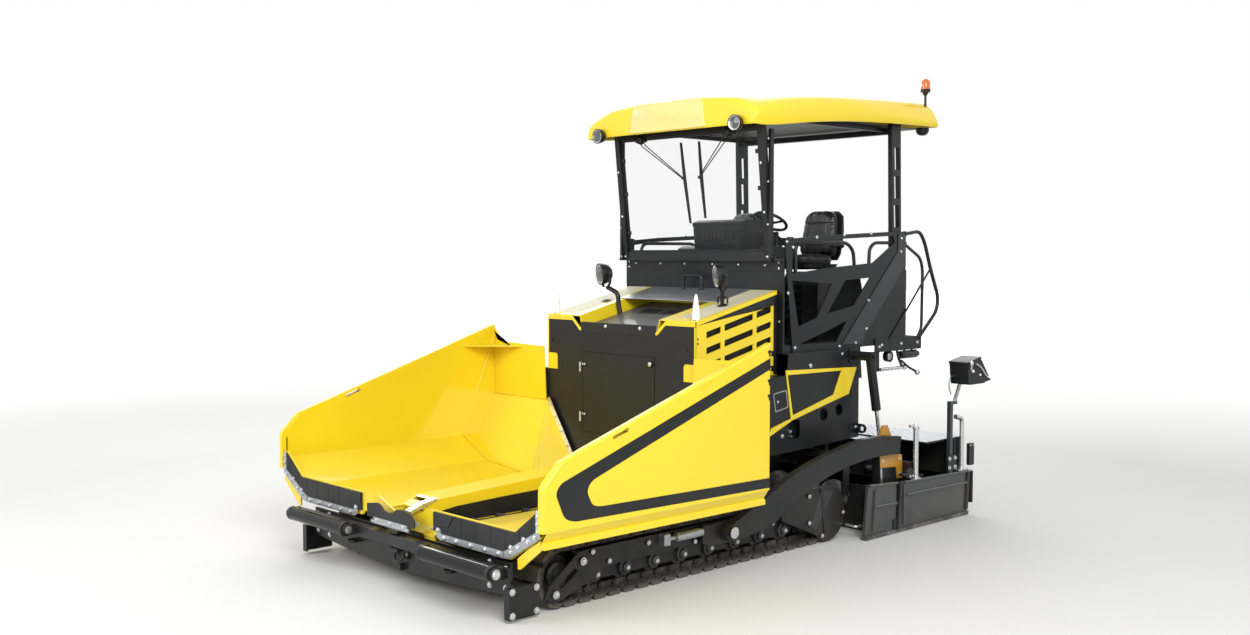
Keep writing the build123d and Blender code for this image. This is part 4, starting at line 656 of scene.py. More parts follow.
def axes_at(across, along_it, out, place):
    """The matrix that carries a shape's own X, Y and Z to three directions at a place."""
    matrix = Matrix.Identity(4)
    for column, vector in enumerate((across, along_it, out, place)):
        for row in range(3):
            matrix[row][column] = vector[row]
    return matrix


print("form helper ready, for", ", ".join(name for name, side in SIDES))

# %% [markdown]
# ## The carried-over construction
#
# Plates, arms and boxes of the construction already have their right shape, so they keep it and get a
# finish. The record names a finish for every node, and a few nodes get one that is closer to the machine.

# %% Dress the carried-over construction
def dress(material, *nodes):
    """Gives construction nodes a finish."""
    for name in nodes:
        piece = frame["nodes"][name]
        if not piece.material_slots:
            piece.data.materials.append(material)
        for slot in piece.material_slots:
            slot.material = material


finishes = (yellow_paint, charcoal_paint, black_rubber, track_steel, zinc_steel, bright_chrome,
            clear_glass, black_plastic, seat_vinyl, engine_grey)
slot_finish = {plain_name(finish): finish for finish in finishes}
for entry in frame["record"]["subparts"]:
    dress(slot_finish[entry["material_slot"]], entry["node"])

# %% [markdown]
# ## Tracks
#
# A crawler track is a chain of links and pins with a steel shoe bolted to every link, here with a rubber
# pad on each shoe so that the machine can cross finished ground. One shoe is modelled flat, in a frame
# whose X is the way of travel and whose Z points away from the wheels, and is then stamped round the loop.

# %% Shoes, pads and chain
TRACK_Y = 1.115
HALF_BASE = 1.340
LOOP_RADIUS = 0.215
SHOE_COUNT = 48
SHOE_HALF = 0.150
PLATE_OUT = 0.185  # outside of a shoe plate, from the wheel's middle
PLATE_IN = 0.173
PIN_OUT = 0.151  # the chain's pins
CHAIN_RADIUS = 0.194  # where the shoes keep their pitch round the wheels


def loop_frame(distance, radius):
    """Frame on the track's loop at a distance along it from the front of the ground run."""
    run = 2 * HALF_BASE
    arc = math.pi * radius
    distance %= 2 * (run + arc)
    if distance < run:
        x, z, heading = HALF_BASE - distance, LOOP_RADIUS - radius, math.pi
    elif distance < run + arc:
        turn = (distance - run) / radius
        x, z, heading = -HALF_BASE - radius * math.sin(turn), LOOP_RADIUS - radius * math.cos(turn), math.pi - turn
    elif distance < 2 * run + arc:
        x, z, heading = -HALF_BASE + distance - run - arc, LOOP_RADIUS + radius, 0.0
    else:
        turn = (distance - 2 * run - arc) / radius
        x, z, heading = HALF_BASE + radius * math.sin(turn), LOOP_RADIUS + radius * math.cos(turn), -turn
    c, s = math.cos(heading), math.sin(heading)
    ahead, out = Vector((c, 0, s)), Vector((-s, 0, c))
    return axes_at(ahead, Vector(LEFT), out, Vector((x, TRACK_Y, z)) - out * radius)


shoe_pitch = 2 * (2 * HALF_BASE + math.pi * CHAIN_RADIUS) / SHOE_COUNT
loop_frames = [loop_frame((k + 0.5) * shoe_pitch, CHAIN_RADIUS) for k in range(SHOE_COUNT)]
half_pitch = shoe_pitch / 2

for side_name, side in SIDES:
    shoe = Form()
    plate_line = [(-0.060, PLATE_IN), (0.050, PLATE_IN), (0.058, PLATE_IN - 0.008), (0.064, PLATE_IN - 0.006),
                  (0.060, PLATE_OUT), (-0.056, PLATE_OUT), (-0.062, PLATE_OUT + 0.006), (-0.066, PLATE_OUT + 0.002)]
    shoe.slab("y", -SHOE_HALF, SHOE_HALF, plate_line)
    for y in (-0.045, 0.045):
        link = rounded([(-half_pitch - 0.018, 0.134), (half_pitch + 0.018, 0.134), (half_pitch + 0.018, 0.168),
                        (0.05, 0.174), (-0.05, 0.174), (-half_pitch - 0.018, 0.168)], 0.014, 3)
        shoe.slab("y", y - 0.009, y + 0.009, link)
        shoe.turn((half_pitch, y - 0.016, PIN_OUT), LEFT, [(0, 0.011), (0.032, 0.011)], 10)
    shoe.turn((half_pitch, -0.06, PIN_OUT), LEFT, [(0, 0.008), (0.12, 0.008)], 8)
    for x in (-0.034, 0.034):
        shoe.bolts([(x, 0.11, PLATE_IN), (x, -0.11, PLATE_IN)], DOWN, 0.010)
    chain = stamp(Form(), shoe, loop_frames).done(f"track_shoes_{side_name}", track_steel, side=side)
    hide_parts(f"track_{side_name}")
    pad = Form()
    pad_line = [
        (-0.054, 0.1845), (0.054, 0.1845), (0.050, 0.206), (0.044, LOOP_RADIUS), (-0.044, LOOP_RADIUS),
        (-0.050, 0.206),
    ]
    pad.slab("y", -SHOE_HALF + 0.004, SHOE_HALF - 0.004, pad_line)
    stamp(Form(), pad, loop_frames).done(f"track_pads_{side_name}", pad_rubber, side=side, edge=0.003)
print("shoes", 2 * SHOE_COUNT, "pitch", round(shoe_pitch, 4))

# %% [markdown]
# The idler, the sprocket and the rollers of the construction are plain discs. Seen past the guard they
# have hubs: a domed cap in a ring of bolts. The sprocket also has teeth that reach between the links.

# %% Roller caps, sprocket teeth and bolts of the guards
CHEEK_OUT_Y = 1.195
GUARD_Y = 1.290
ROLLERS = [(k - 3.5) * 0.287 for k in range(8)]
ROLLER_Z = 0.164
CAP_BOLTS = 0.046  # radius of the ring of bolts on a roller's cap
TEETH = 14
roller_cap = [(0, 0.058), (0.022, 0.056), (0.026, 0.040), (0.044, 0.036), (0.050, 0.024), (0.052, 0.001)]
hub_cap = [(0, 0.088), (0.016, 0.088), (0.024, 0.062), (0.040, 0.058), (0.048, 0.03), (0.05, 0.001)]
running = Form()
for x in ROLLERS:
    running.turn((x, CHEEK_OUT_Y - 0.002, ROLLER_Z), LEFT, roller_cap, 20)
    for angle in (math.radians(90 + 120 * turn) for turn in range(3)):
        place = (x + CAP_BOLTS * math.cos(angle), CHEEK_OUT_Y + 0.02, ROLLER_Z + CAP_BOLTS * math.sin(angle))
        running.bolt(place, LEFT, 0.006)
for x, count in ((-HALF_BASE, TEETH), (HALF_BASE, 0)):
    for k in range(count):
        angle = 2 * math.pi * k / count
        ahead = Vector((math.cos(angle), 0, math.sin(angle)))
        cross = Vector((-math.sin(angle), 0, math.cos(angle)))
        middle = Vector((x, TRACK_Y, LOOP_RADIUS))
        tooth_line = ((0.125, -0.020), (0.158, -0.009), (0.158, 0.009), (0.125, 0.020))
        tooth = [middle + ahead * a + cross * b for a, b in tooth_line]
        running.rings([[point + Vector((0, y, 0)) for point in tooth] for y in (-0.022, 0.022)])
    running.turn((x, CHEEK_OUT_Y - 0.002, LOOP_RADIUS), LEFT, hub_cap, 24)
running.mirror().done("track_hubs", chassis_paint)

fasteners = Form()
large_bolts = [(1.19, 0.299), (1.43, 0.115)]
small_bolts = [
    (0.576, 0.328), (-1.232, 0.197), (-1.229, 0.414), (-0.774, 0.266), (-1.676, 0.225), (1.104, 0.350),
    (0.95, 0.262), (0.10, 0.262), (-1.40, 0.07),
]
fasteners.bolts([(x, GUARD_Y + 0.014, z) for x, z in large_bolts], LEFT, 0.019)
fasteners.bolts([(x, GUARD_Y + 0.014, z) for x, z in small_bolts], LEFT, 0.012)
fasteners.bolts([(x, CHEEK_OUT_Y + 0.05, ROLLER_Z) for x in ROLLERS], LEFT, 0.011)
fasteners.bolts([(x, 1.315, z) for x in (1.605, 1.805) for z in (0.05, 0.205)], LEFT, 0.016)
fasteners.mirror().done("track_bolts", bolt_zinc)
print("track hubs and bolts placed")

# %% [markdown]
# ## Hopper wings
#
# Each wing carries a broad dark band that runs down from its rear end, turns at the front and comes back
# along the foot, round a yellow field. On the machine it is a sheet of film, so here it is a thin
# plate with rounded corners and a hole, a millimetre proud of the wing, and it rides on the wing.

# %% Dark bands of the wings
WING_FACE = 1.670
WING_TAIL = -0.300
BAND_OUTER = [(WING_TAIL, 1.606), (1.700, 0.938), (1.742, 0.880), (1.668, 0.712), (1.590, 0.684), (WING_TAIL, 0.657)]
BAND_INNER = [(WING_TAIL, 1.524), (1.440, 0.926), (1.484, 0.868), (1.436, 0.768), (1.370, 0.752), (WING_TAIL, 0.729)]
HOOK = [(WING_TAIL, 0.024), (-0.272, 0.020), (-0.272, 0.004), (-0.284, -0.002), (-0.284, -0.022), (WING_TAIL, -0.024)]
outer_line = rounded(BAND_OUTER, [0.0, 0.09, 0.07, 0.09, 0.06, 0.0])
inner_line = rounded(BAND_INNER, [0.0, 0.10, 0.06, 0.08, 0.06, 0.0])
for side_name, side in SIDES:
    band = Form()
    band.slab("y", WING_FACE - 0.0005, WING_FACE + 0.0012, outer_line + list(reversed(inner_line)))
    for z in (1.640, 1.538, 1.430, 1.320):
        band.slab("y", WING_FACE - 0.0005, WING_FACE + 0.0016, [(x, z + rise) for x, rise in HOOK])
    band.done(f"wing_band_{side_name}", charcoal_paint, f"wing_{side_name}", side)
print("wing bands from", WING_TAIL, "to", BAND_OUTER[2][0])

# %% [markdown]
# Inside, the wing is folded from plate and stiffened where it meets its back wall. The curtain at the
# front is cut in overlapping strips of conveyor rubber, clamped under bolted galvanised bars.

# %% Stiffeners, seams and bolts of the wings
CURTAIN_X = 1.818
CLAMP_X = CURTAIN_X + 0.0075  # face of the bars that clamp the curtain
CLAMP_BOLTS = ((1.33, 0.468), (1.40, 0.508), (1.50, 0.562), (1.57, 0.602), (1.33, 0.500), (1.46, 0.572))
PLATE_FACE = CURTAIN_X + 0.009
SEAM_TOP, SEAM_FOOT = (0.876, 1.085), (0.513, 0.55)  # the tail's slanting seam, left and up
BEAD = 0.006  # radius of a weld
for side_name, side in SIDES:
    body = f"wing_{side_name}"
    inside = Form()
    inside.slab("z", 1.530, 1.538, [(-0.299, 1.610), (0.06, 1.610), (-0.299, 1.20)])
    inside.slab("x", -0.299, -0.291, [(1.612, 1.612), (1.612, 1.655), (1.560, 1.580), (1.330, 1.548), (1.330, 1.520)])
    for weld in ([(-0.294, 0.884, 1.093), (-0.294, 1.606, 1.093)], [(-0.290, 1.606, 1.60), (0.066, 1.606, 0.76)],
                 [(0.072, 0.66, 0.500), (0.066, 1.25, 0.560), (0.066, 1.60, 0.742)]):
        inside.bar(weld, BEAD, 8)
    lip_line = [
        (1.376, 0.435), (1.380, 0.366), (1.410, 0.372), (1.47, 0.420), (1.604, 0.520), (1.604, 0.585), (1.50, 0.525),
    ]
    inside.slab("x", 1.798, 1.810, lip_line)
    inside.slab("y", 1.612, 1.6645, oblong(0.3900, 1.4570, 0.1490, 0.0263, 0.0109, -0.3223))
    inside.done(f"wing_gusset_{side_name}", yellow_paint, body, side)
    steel = Form()
    steel.bolts([(CLAMP_X, y, 0.440) for y in (0.60, 0.74, 0.90, 1.06, 1.20)], AHEAD, 0.013)
    steel.bolt((CLAMP_X, 0.527, 0.482), AHEAD, 0.012)
    steel.bolts([(CLAMP_X, y, z) for y, z in CLAMP_BOLTS], AHEAD, 0.013)
    steel.bolts([(CLAMP_X, 1.598, z) for z in (0.64, 0.69, 0.74)], AHEAD, 0.012)
    for share in (0.08, 0.28, 0.5, 0.72, 0.92):
        y, z = (top + (foot - top) * share for top, foot in zip(SEAM_TOP, SEAM_FOOT))
        steel.bolt((-0.3005, y - 0.020, z + 0.014), AHEAD, 0.009)
    steel.slab("x", -0.3035, -0.3008, [(0.872, 1.092), (0.514, 0.560), (0.478, 0.584), (0.836, 1.116)])
    for y0, y1 in ((1.584, 1.616), (1.622, 1.652)):
        plate_line = rounded([(y0, 0.645), (y1, 0.662), (y1, 0.778), (y0, 0.778)], 0.006, 2)
        steel.slab("x", CURTAIN_X + 0.004, PLATE_FACE, plate_line)
    steel.bolts([(PLATE_FACE, 1.637, z) for z in (0.69, 0.75)], AHEAD, 0.010)
    steel.done(f"wing_bolts_{side_name}", bolt_zinc, body, side)
    rubber = Form()
    for y in (0.62, 0.78, 0.94, 1.10, 1.26, 1.40, 1.52):
        top = 0.596 if y < 1.36 else 0.596 + (y - 1.36) * 0.72
        foot = 0.472 if y < 1.28 else 0.472 + (y - 1.28) * 0.52
        rubber.slab("y", y, y + 0.006, rect(CURTAIN_X - 0.001, foot, CURTAIN_X + 0.002, top))
    rubber.slab(
        "x", CURTAIN_X - 0.0005, CURTAIN_X + 0.006,
        [(0.468, 0.505), (0.468, 0.598), (0.700, 0.598), (0.640, 0.520), (0.520, 0.505)],
    )
    rubber.done(f"curtain_strips_{side_name}", black_rubber, body, side)
print("wing details placed")

# %% [markdown]
# ## Front end
#
# Lorries back against two steel rollers, which turn on shafts in greased end caps. Between them hangs
# a rubber flap on a bolted bar, and a narrow zinc strip lies beside the left conveyor's mouth.

# %% Roller caps, sill and bolts
PUSH_X, PUSH_Z, PUSH_R = 1.933, 0.342, 0.052
ring_line = [
    (-0.034, PUSH_R + 0.0012), (-0.004, PUSH_R + 0.0012), (0.001, PUSH_R - 0.004), (0.0015, 0.03), (0.0016, 0.001),
]
outer_nut = [(0, 0.033), (0.005, 0.033), (0.007, 0.026), (0.016, 0.024), (0.018, 0.014), (0.019, 0.001)]
inner_nut = [(0, 0.028), (0.006, 0.028), (0.008, 0.02), (0.009, 0.001)]
for side_name, side in SIDES:
    caps = Form()
    for y, way in ((1.289, 1), (0.481, -1)):
        caps.turn((PUSH_X, y, PUSH_Z), (0, way, 0), ring_line, 32)
    caps.done(f"roller_rings_{side_name}", black_plastic, f"push_roller_{side_name}", side, slot="charcoal_paint")
    ears = Form()
    ears.turn((PUSH_X, 1.313, PUSH_Z), LEFT, outer_nut, 20).turn((PUSH_X, 0.457, PUSH_Z), RIGHT, inner_nut, 20)
    ears.bolt((PUSH_X, 1.330, PUSH_Z), LEFT, 0.010)
    ears.bolts([(1.867, y, 0.33) for y in (0.62, 1.16)], AHEAD, 0.012)
    ears.done(f"roller_nuts_{side_name}", bolt_zinc, "push_beam", side)

sill = Form()
sill.slab(
    "y", 0.064, 0.130,
    [(1.552, 0.6035), (1.690, 0.574), (1.785, 0.540), (1.787, 0.546), (1.692, 0.581), (1.552, 0.6105)],
)
sill.slab("y", 0.130, 0.138, [(1.552, 0.590), (1.785, 0.526), (1.787, 0.548), (1.692, 0.584), (1.552, 0.614)])
sill.done("conveyor_sill", bolt_zinc, edge=0.0015)
cheeks = Form()
cheek_line = [(-0.318, 0.412), (1.52, 0.412), (1.54, 0.470), (1.54, 0.512), (1.39, 0.530), (1.0, 0.544), (0.58, 0.553),
              (-0.318, 0.566)]
cheeks.slab("y", 0.1345, 0.1375, cheek_line)
cheeks.mirror().done("guard_cheeks", charcoal_paint, edge=0.001)
dress(gloss_black, "push_roller_left", "push_roller_right")
lips = Form()
lips.slab("x", 1.752, 1.762, rect(0.135, 0.392, 0.395, 0.412))
lips.mirror().done("nose_lips", yellow_paint, edge=0.002)
flap = Form()
foot_right, foot_left = [
    (-0.239, 0.437), (-0.239, 0.456), (-0.318, 0.458),
], [(0.294, 0.458), (0.239, 0.456), (0.239, 0.437)]
crest = [(-0.316, 0.552), (-0.175, 0.574), (-0.128, 0.560), (-0.092, 0.530), (-0.035, 0.520), (0.019, 0.529),
         (0.055, 0.552), (0.090, 0.563), (0.156, 0.565), (0.252, 0.549), (0.290, 0.518)]
flap.slab("x", 1.8505, 1.8618, foot_right + crest + foot_left)
shown_flap = flap.done("flap_rubber", black_rubber, "front_flap", edge=0.002)
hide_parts("front_flap")
flap_bolts = Form()
flap_bolts.bolts([(1.869, y, 0.452) for y in (-0.17, 0.0, 0.17)], AHEAD, 0.012)
flap_bolts.done("flap_bolts", bolt_zinc, "front_flap")
beam_bolts = Form()
beam_places = ((1.19, 0.20), (1.19, 0.33), (1.02, 0.19), (1.02, 0.345))
beam_bolts.bolts([(1.759, y, z) for y, z in beam_places], AHEAD, 0.015)
beam_bolts.bolts([(1.754, y, 0.46) for y in (0.17, 0.36)], AHEAD, 0.011)
beam_bolts.mirror().done("beam_bolts", bolt_zinc)
coupling = Form()
shackle = [(1.775, -0.05, 0.235), (1.80, -0.06, 0.205), (1.812, -0.03, 0.175)]
coupling.bar(shackle + [(x, -y, z) for x, y, z in reversed(shackle)], 0.011, 10, 0.03)
coupling.slab("x", 1.756, 1.776, oblong(0, 0.225, 0.17, 0.07, 0.02))
coupling.box(1.757, 1.80, -0.018, 0.018, 0.105, 0.150)
coupling.done("tow_shackle", charcoal_paint, edge=0.002)
tow_pins = Form()
tow_pins.bolts([(1.775, y, 0.225) for y in (-0.066, 0.066)], AHEAD, 0.009)
tow_pins.done("shackle_bolts", bolt_zinc)
print("front end detailed")

# %% [markdown]
# ## Hood
#
# The hood is folded sheet: a yellow top and flanks over a dark front. The front sheet sits a little
# behind a yellow fold that follows the notch. Behind the flanks' openings there is black mesh, and behind
# the mesh a plain black sheet stands in for the dark engine bay as painted shade.

# %% Fold, corner plates, mesh and a painted-shade sheet behind the openings
HOOD_X = -0.335
HOOD_Y = 0.886
HOOD_FRONT_TOP = 1.834
HOOD_REAR_X, HOOD_REAR_TOP = -1.310, 2.060
HOOD_RISE = (HOOD_REAR_TOP - HOOD_FRONT_TOP) / (HOOD_X - HOOD_REAR_X)
HOOD_OPENINGS = ((-0.457, -0.625), (-0.667, -1.011), (-1.052, -1.235))
OPENING_DROP, OPENING_PITCH = 0.110, 0.124  # first row under the hood's top, and the step between rows


def hood_top(x):
    """Height of the hood's sloping top."""
    return HOOD_FRONT_TOP + (HOOD_X - x) * HOOD_RISE


def opening_top(x, row):
    """Height of the upper edge of a row of openings in the flanks."""
    return hood_top(x) - OPENING_DROP - row * OPENING_PITCH


fold = Form()
fold_line = [
    (HOOD_Y, 1.838), (0.572, 1.838), (0.452, 1.733), (0.448, 1.712), (0.470, 1.712), (0.560, 1.794), (HOOD_Y, 1.794),
]
for s in (-1, 1):
    fold.slab("x", HOOD_X - 0.001, HOOD_X + 0.004, [(s * y, z) for y, z in fold_line])
for s in (-1, 1):
    corner = rect(s * 0.762, 1.362, s * 0.888, 1.500, [0.0, 0.0, 0.0, 0.03])
    fold.slab("x", HOOD_X - 0.001, HOOD_X + 0.003, corner)
    fold.slab("x", HOOD_X - 0.001, HOOD_X + 0.004, rect(s * 0.876, 1.50, s * 0.889, 1.79))
fold.done("hood_fold", yellow_paint, edge=0.0015)

# A black sheet of painted shade behind the openings: it stands in for the shaded engine bay.
bay = Form()
bay_line = [(-0.40, 1.40), (-1.28, 1.40), (-1.28, hood_top(-1.28) - 0.05), (-0.40, hood_top(-0.40) - 0.05)]
bay.slab("y", 0.858, 0.862, bay_line).mirror().done("bay_mesh", black_plastic)
WIRE_PITCH = 0.016
mesh_wires = Form()
for row in range(3):
    for x0, x1 in HOOD_OPENINGS:
        count = round((x0 - x1) / WIRE_PITCH)
        for k in range(count + 1):
            x = x0 + (x1 - x0) * k / count
            z = opening_top(x, row)
            mesh_wires.box(x - 0.0012, x + 0.0012, 0.8625, 0.8655, z - 0.058, z + 0.006)
        for k in range(4):
            z0, z1 = (opening_top(x, row) - 0.008 - 0.014 * k for x in (x0, x1))
            mesh_wires.slab("y", 0.8655, 0.8675, [(x0, z0), (x1, z1), (x1, z1 + 0.0022), (x0, z0 + 0.0022)])
mesh_wires.mirror().done("bay_mesh_wires", black_plastic)

# %% [markdown]
# Each flank is a yellow panel with the openings cut in it, set on the dark side of the hood: a dark
# wedge shows above it, a dark post behind it, and hooks of the panel leave small dark notches at its rear.

# %% Dark wedge, yellow frame and dark rear post of each flank
flank = Form()
panel_line = rounded([(-0.342, 1.802), (-0.342, 1.364), (-1.262, 1.364), (-1.262, 1.936)], [0.0, 0.0, 0.0, 0.012])
holes = []
for row in range(3):
    for x0, x1 in HOOD_OPENINGS:
        corner_line = [(x0, opening_top(x0, row)), (x1, opening_top(x1, row))]
        corner_line += [(x, z - 0.052) for x, z in reversed(corner_line)]
        holes.append(rounded([(x + (0.001 if x == x0 else -0.001), z) for x, z in corner_line], 0.009, 3))
flank.slab("y", HOOD_Y - 0.001, HOOD_Y + 0.004, panel_line, *holes)
flank.mirror().done("flank_panels", yellow_paint, edge=0.0012)
dark = Form()
wedge_line = [(-0.352, 1.802), (-1.308, 2.026), (-1.308, 1.364), (-1.264, 1.364), (-1.264, 1.9365), (-0.352, 1.804)]
dark.slab("y", HOOD_Y - 0.001, HOOD_Y + 0.0025, wedge_line)
notch = [(-1.266, 0.022), (-1.212, 0.024), (-1.212, 0.008), (-1.236, 0.006), (-1.236, -0.024), (-1.266, -0.026)]
for z in (1.542, 1.418):
    dark.slab("y", HOOD_Y + 0.002, HOOD_Y + 0.0055, [(x, z + rise) for x, rise in notch])
dark.mirror().done("flank_dark", charcoal_paint, edge=0.001)
side_bolts = Form()
side_bolts.bolts([(-0.358, HOOD_Y + 0.004, z) for z in (1.70, 1.665)], LEFT, 0.006)
side_bolts.mirror().done("flank_bolts", charcoal_paint)
print("hood flanks with", len(holes), "openings each")

# %% [markdown]
# The recess in the hood's top holds a grey pan with two dark air slots, and behind it lies a loose
# aluminium-grey cover up to the windscreen. The service door hangs on two zinc hinges.

# %% Pan, cover and door fittings
PAN_DROP = 0.100  # the pan lies this far under the hood's top
HOOD_NORMAL = (0.22, 0, 1)
pan = Form()
pan.rings(
    [
        [
            (x, y, hood_top(x) - PAN_DROP + lift)
            for y, lift in ((-0.449, 0.0), (0.449, 0.0), (0.451, 0.004), (-0.451, 0.004))
        ]
        for x in (-0.345, -1.178)
    ]
)
pan.done("recess_pan", pan_steel, edge=0.002)
mats = Form()
for s in (-1, 1):
    mat_line = rect(-0.425, s * 0.612, -1.300, s * 0.858, 0.02)
    mats.rings([[(x, y, hood_top(x) + lift) for x, y in mat_line] for lift in (-0.0005, 0.0022)])
mats.done("hood_mats", cream_mat)
vents = Form()
for y in (-0.16, 0.12):
    vent_line = rect(-0.80, y - 0.12, -0.94, y + 0.12, 0.012)
    vents.rings([[(x, v, hood_top(x) - PAN_DROP + lift) for x, v in vent_line] for lift in (0.003, 0.0065)])
front_vent = [(-0.446, 1.700), (0.446, 1.700), (0.446, 1.742), (0.452, 1.786), (-0.452, 1.786), (-0.446, 1.742)]
vents.slab("x", HOOD_X - 0.006, HOOD_X + 0.003, rounded(front_vent, [0.01, 0.01, 0, 0.008, 0.008, 0]))
vents.done("recess_vents", black_plastic, edge=0.002)
cover = Form()
cover_line = [
    (x, hood_top(x) + lift) for x, lift in ((-0.895, 0.001), (-1.306, 0.001), (-1.306, 0.006), (-0.895, 0.006))
]
cover.slab("y", -0.560, 0.605, cover_line)
cover.done("hood_cover", zinc_steel, edge=0.002)
hinge = Form()
for z in (0.98, 1.405):
    for low in (z - 0.045, z - 0.002):
        hinge.turn((HOOD_X + 0.0086, -0.454, low), UP, [(0.001, 0.011), (0.0415, 0.011)], 16)
hinge.done("door_hinge_pins", bolt_zinc, "hood_door", edge=0.001)
latch = Form()
latch.turn(
    (HOOD_X + 0.014, 0.395, 1.475), AHEAD,
    [(0, 0.019), (0.004, 0.018), (0.006, 0.010), (0.010, 0.009), (0.011, 0.001)], 24,
)
latch.bolts([(HOOD_X + 0.0055, y, z) for y in (-0.425, -0.400) for z in (1.002, 1.427)], AHEAD, 0.006)
latch.done("door_latch", bolt_zinc, "hood_door")
seam = Form()
seam.slab("x", HOOD_X - 0.020, HOOD_X - 0.006, rect(-0.442, 0.848, 0.442, 1.537), rect(-0.434, 0.856, 0.434, 1.529))
seam.done("door_seal", black_rubber)
front_bolts = Form()
front_bolts.bolts([(HOOD_X + 0.003, y, 1.758) for y in (-0.14, 0.27)], AHEAD, 0.011)
front_bolts.done("hood_bolts", bolt_zinc)
plugs = Form()
for s in (-1, 1):
    plugs.turn(
        (HOOD_X - 0.008, s * 0.815, 1.610), AHEAD,
        [(0, 0.024), (0.004, 0.023), (0.004, 0.017), (0.001, 0.016), (0.001, 0.001)], 24,
    )
plugs.done("hood_plugs", black_rubber)
print("recess, door and bolts done")

# %% [markdown]
# Two work lights stand on bent stalks beside the recess. A lamp of this kind is a spun bowl with a rim
# that clamps the glass, a reflector behind it and a yoke with wing nuts. Next to them stand two white
# cones that show the driver where the hood's corners are.

# %% Work lights and cones
def lamp_head(dark, bright, panes, place, way, radius=0.092, depth=0.098):
    """Bowl, rim, reflector and glass of a round lamp that looks along way."""
    r = radius
    bowl = [
        (-depth, 0.001), (-depth, r * 0.30), (-depth * 0.93, r * 0.52), (-depth * 0.68, r * 0.82),
        (-depth * 0.3, r * 0.97),
    ]
    rim = [
        (0.0, r * 1.04), (0.016, r * 1.05), (0.018, r * 0.98), (0.008, r * 0.94), (-0.01, r * 0.90),
        (-0.02, r * 0.88),
    ]
    mirror = [
        (-0.035, 0.001), (-0.034, r * 0.25), (-0.022, r * 0.6), (0.006, r * 0.90), (0.014, r * 0.93),
        (0.013, r * 0.88),
    ]
    dark.turn(place, way, bowl + rim, 32)
    bright.turn(place, way, mirror, 32)
    panes.turn(place, way, [(0.006, r * 0.9), (0.012, r * 0.86), (0.019, r * 0.5), (0.021, 0.001)], 32)


LAMP_X = -0.800
LAMP_FOOT = hood_top(LAMP_X)
lamp_dark, lamp_bright, lamp_panes, stalks = Form(), Form(), Form(), Form()
for y, way in ((-0.640, (0.92, -0.40, -0.10)), (0.745, (0.86, -0.52, -0.12))):
    head = Vector((-0.735, y, LAMP_FOOT + 0.240))
    lamp_head(lamp_dark, lamp_bright, lamp_panes, head, way)
    aim = Vector(way).normalized()
    rear = head - aim * 0.045
    cross = aim.cross(Vector(UP)).normalized()
    yoke = ((0.112, 0.0), (0.112, 0.075), (0.06, 0.118), (-0.06, 0.118), (-0.112, 0.075), (-0.112, 0.0))
    stalks.strip([rear + cross * aside - Vector((0, 0, drop)) for aside, drop in yoke], 0.024, 0.004, aim)
    for k in (-1, 1):
        wing_nut = [(0, 0.012), (0.018, 0.012), (0.02, 0.018), (0.03, 0.017), (0.031, 0.001)]
        stalks.turn(rear + cross * 0.100 * k, cross * k, wing_nut, 12)
    if y < 0:
        path = [(LAMP_X, y + 0.21, LAMP_FOOT - 0.21), (LAMP_X + 0.01, y + 0.165, LAMP_FOOT - 0.02),
                (LAMP_X + 0.01, y + 0.16, LAMP_FOOT + 0.075), rear - Vector((0, -0.02, 0.12))]
        stalks.bar(path, 0.021, 14, 0.08, 8)
    else:
        path = [(LAMP_X, y, LAMP_FOOT), (LAMP_X + 0.01, y, LAMP_FOOT + 0.07), rear - Vector((0, 0, 0.12))]
        stalks.bar(path, 0.017, 14, 0.04, 6)
        hoop = ((-0.05, 0.02), (-0.055, 0.07), (0.055, 0.07), (0.05, 0.02))
        stalks.bar([(LAMP_X, y + aside, LAMP_FOOT + rise) for aside, rise in hoop], 0.008, 10, 0.02)
    socket = [(0, 0.045), (0.010, 0.045), (0.013, 0.03), (0.02, 0.02)]
    stalks.turn((LAMP_X, y, LAMP_FOOT - 0.004), HOOD_NORMAL, socket, 20)
shell = lamp_dark.done("lamp_bowls", black_plastic)
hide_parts("lamps")
lamp_bright.done("lamp_reflectors", bright_chrome)
lamp_panes.done("lamp_panes", lamp_glass)
stalks.done("lamp_stalks", black_plastic)
cones = Form()
CONE_X = -0.395
cone_line = [
    (0, 0.031), (0.008, 0.031), (0.05, 0.030), (0.11, 0.024), (0.16, 0.017), (0.195, 0.010), (0.202, 0.004),
    (0.203, 0.001),
]
for s in (-1, 1):
    cones.turn((CONE_X, s * 0.835, hood_top(CONE_X) - 0.002), UP, cone_line, 24)
cones.done("corner_cones", white_cap)
handle = Form()
HANDLE_X, HANDLE_HALF = -1.230, 0.11
top = hood_top(HANDLE_X)
hoop = ((-HANDLE_HALF, -0.003), (-HANDLE_HALF, 0.130), (HANDLE_HALF, 0.130), (HANDLE_HALF, -0.003))
handle.bar([(HANDLE_X, y, top + rise) for y, rise in hoop], 0.0145, 14, 0.035)
for y in (-HANDLE_HALF, HANDLE_HALF):
    handle.turn((HANDLE_X, y, top - 0.004), HOOD_NORMAL, [(0, 0.026), (0.008, 0.025), (0.010, 0.014)], 18)
handle.done("hood_handle", charcoal_paint)
print("lamps, cones and handle placed")

# %% [markdown]
# ## Operator's stand
#
# The desk is a moulded shell: a hooded instrument block in the middle, lower trays beside it and a
# ribbed front. The steering wheel is a padded ring on three spokes.

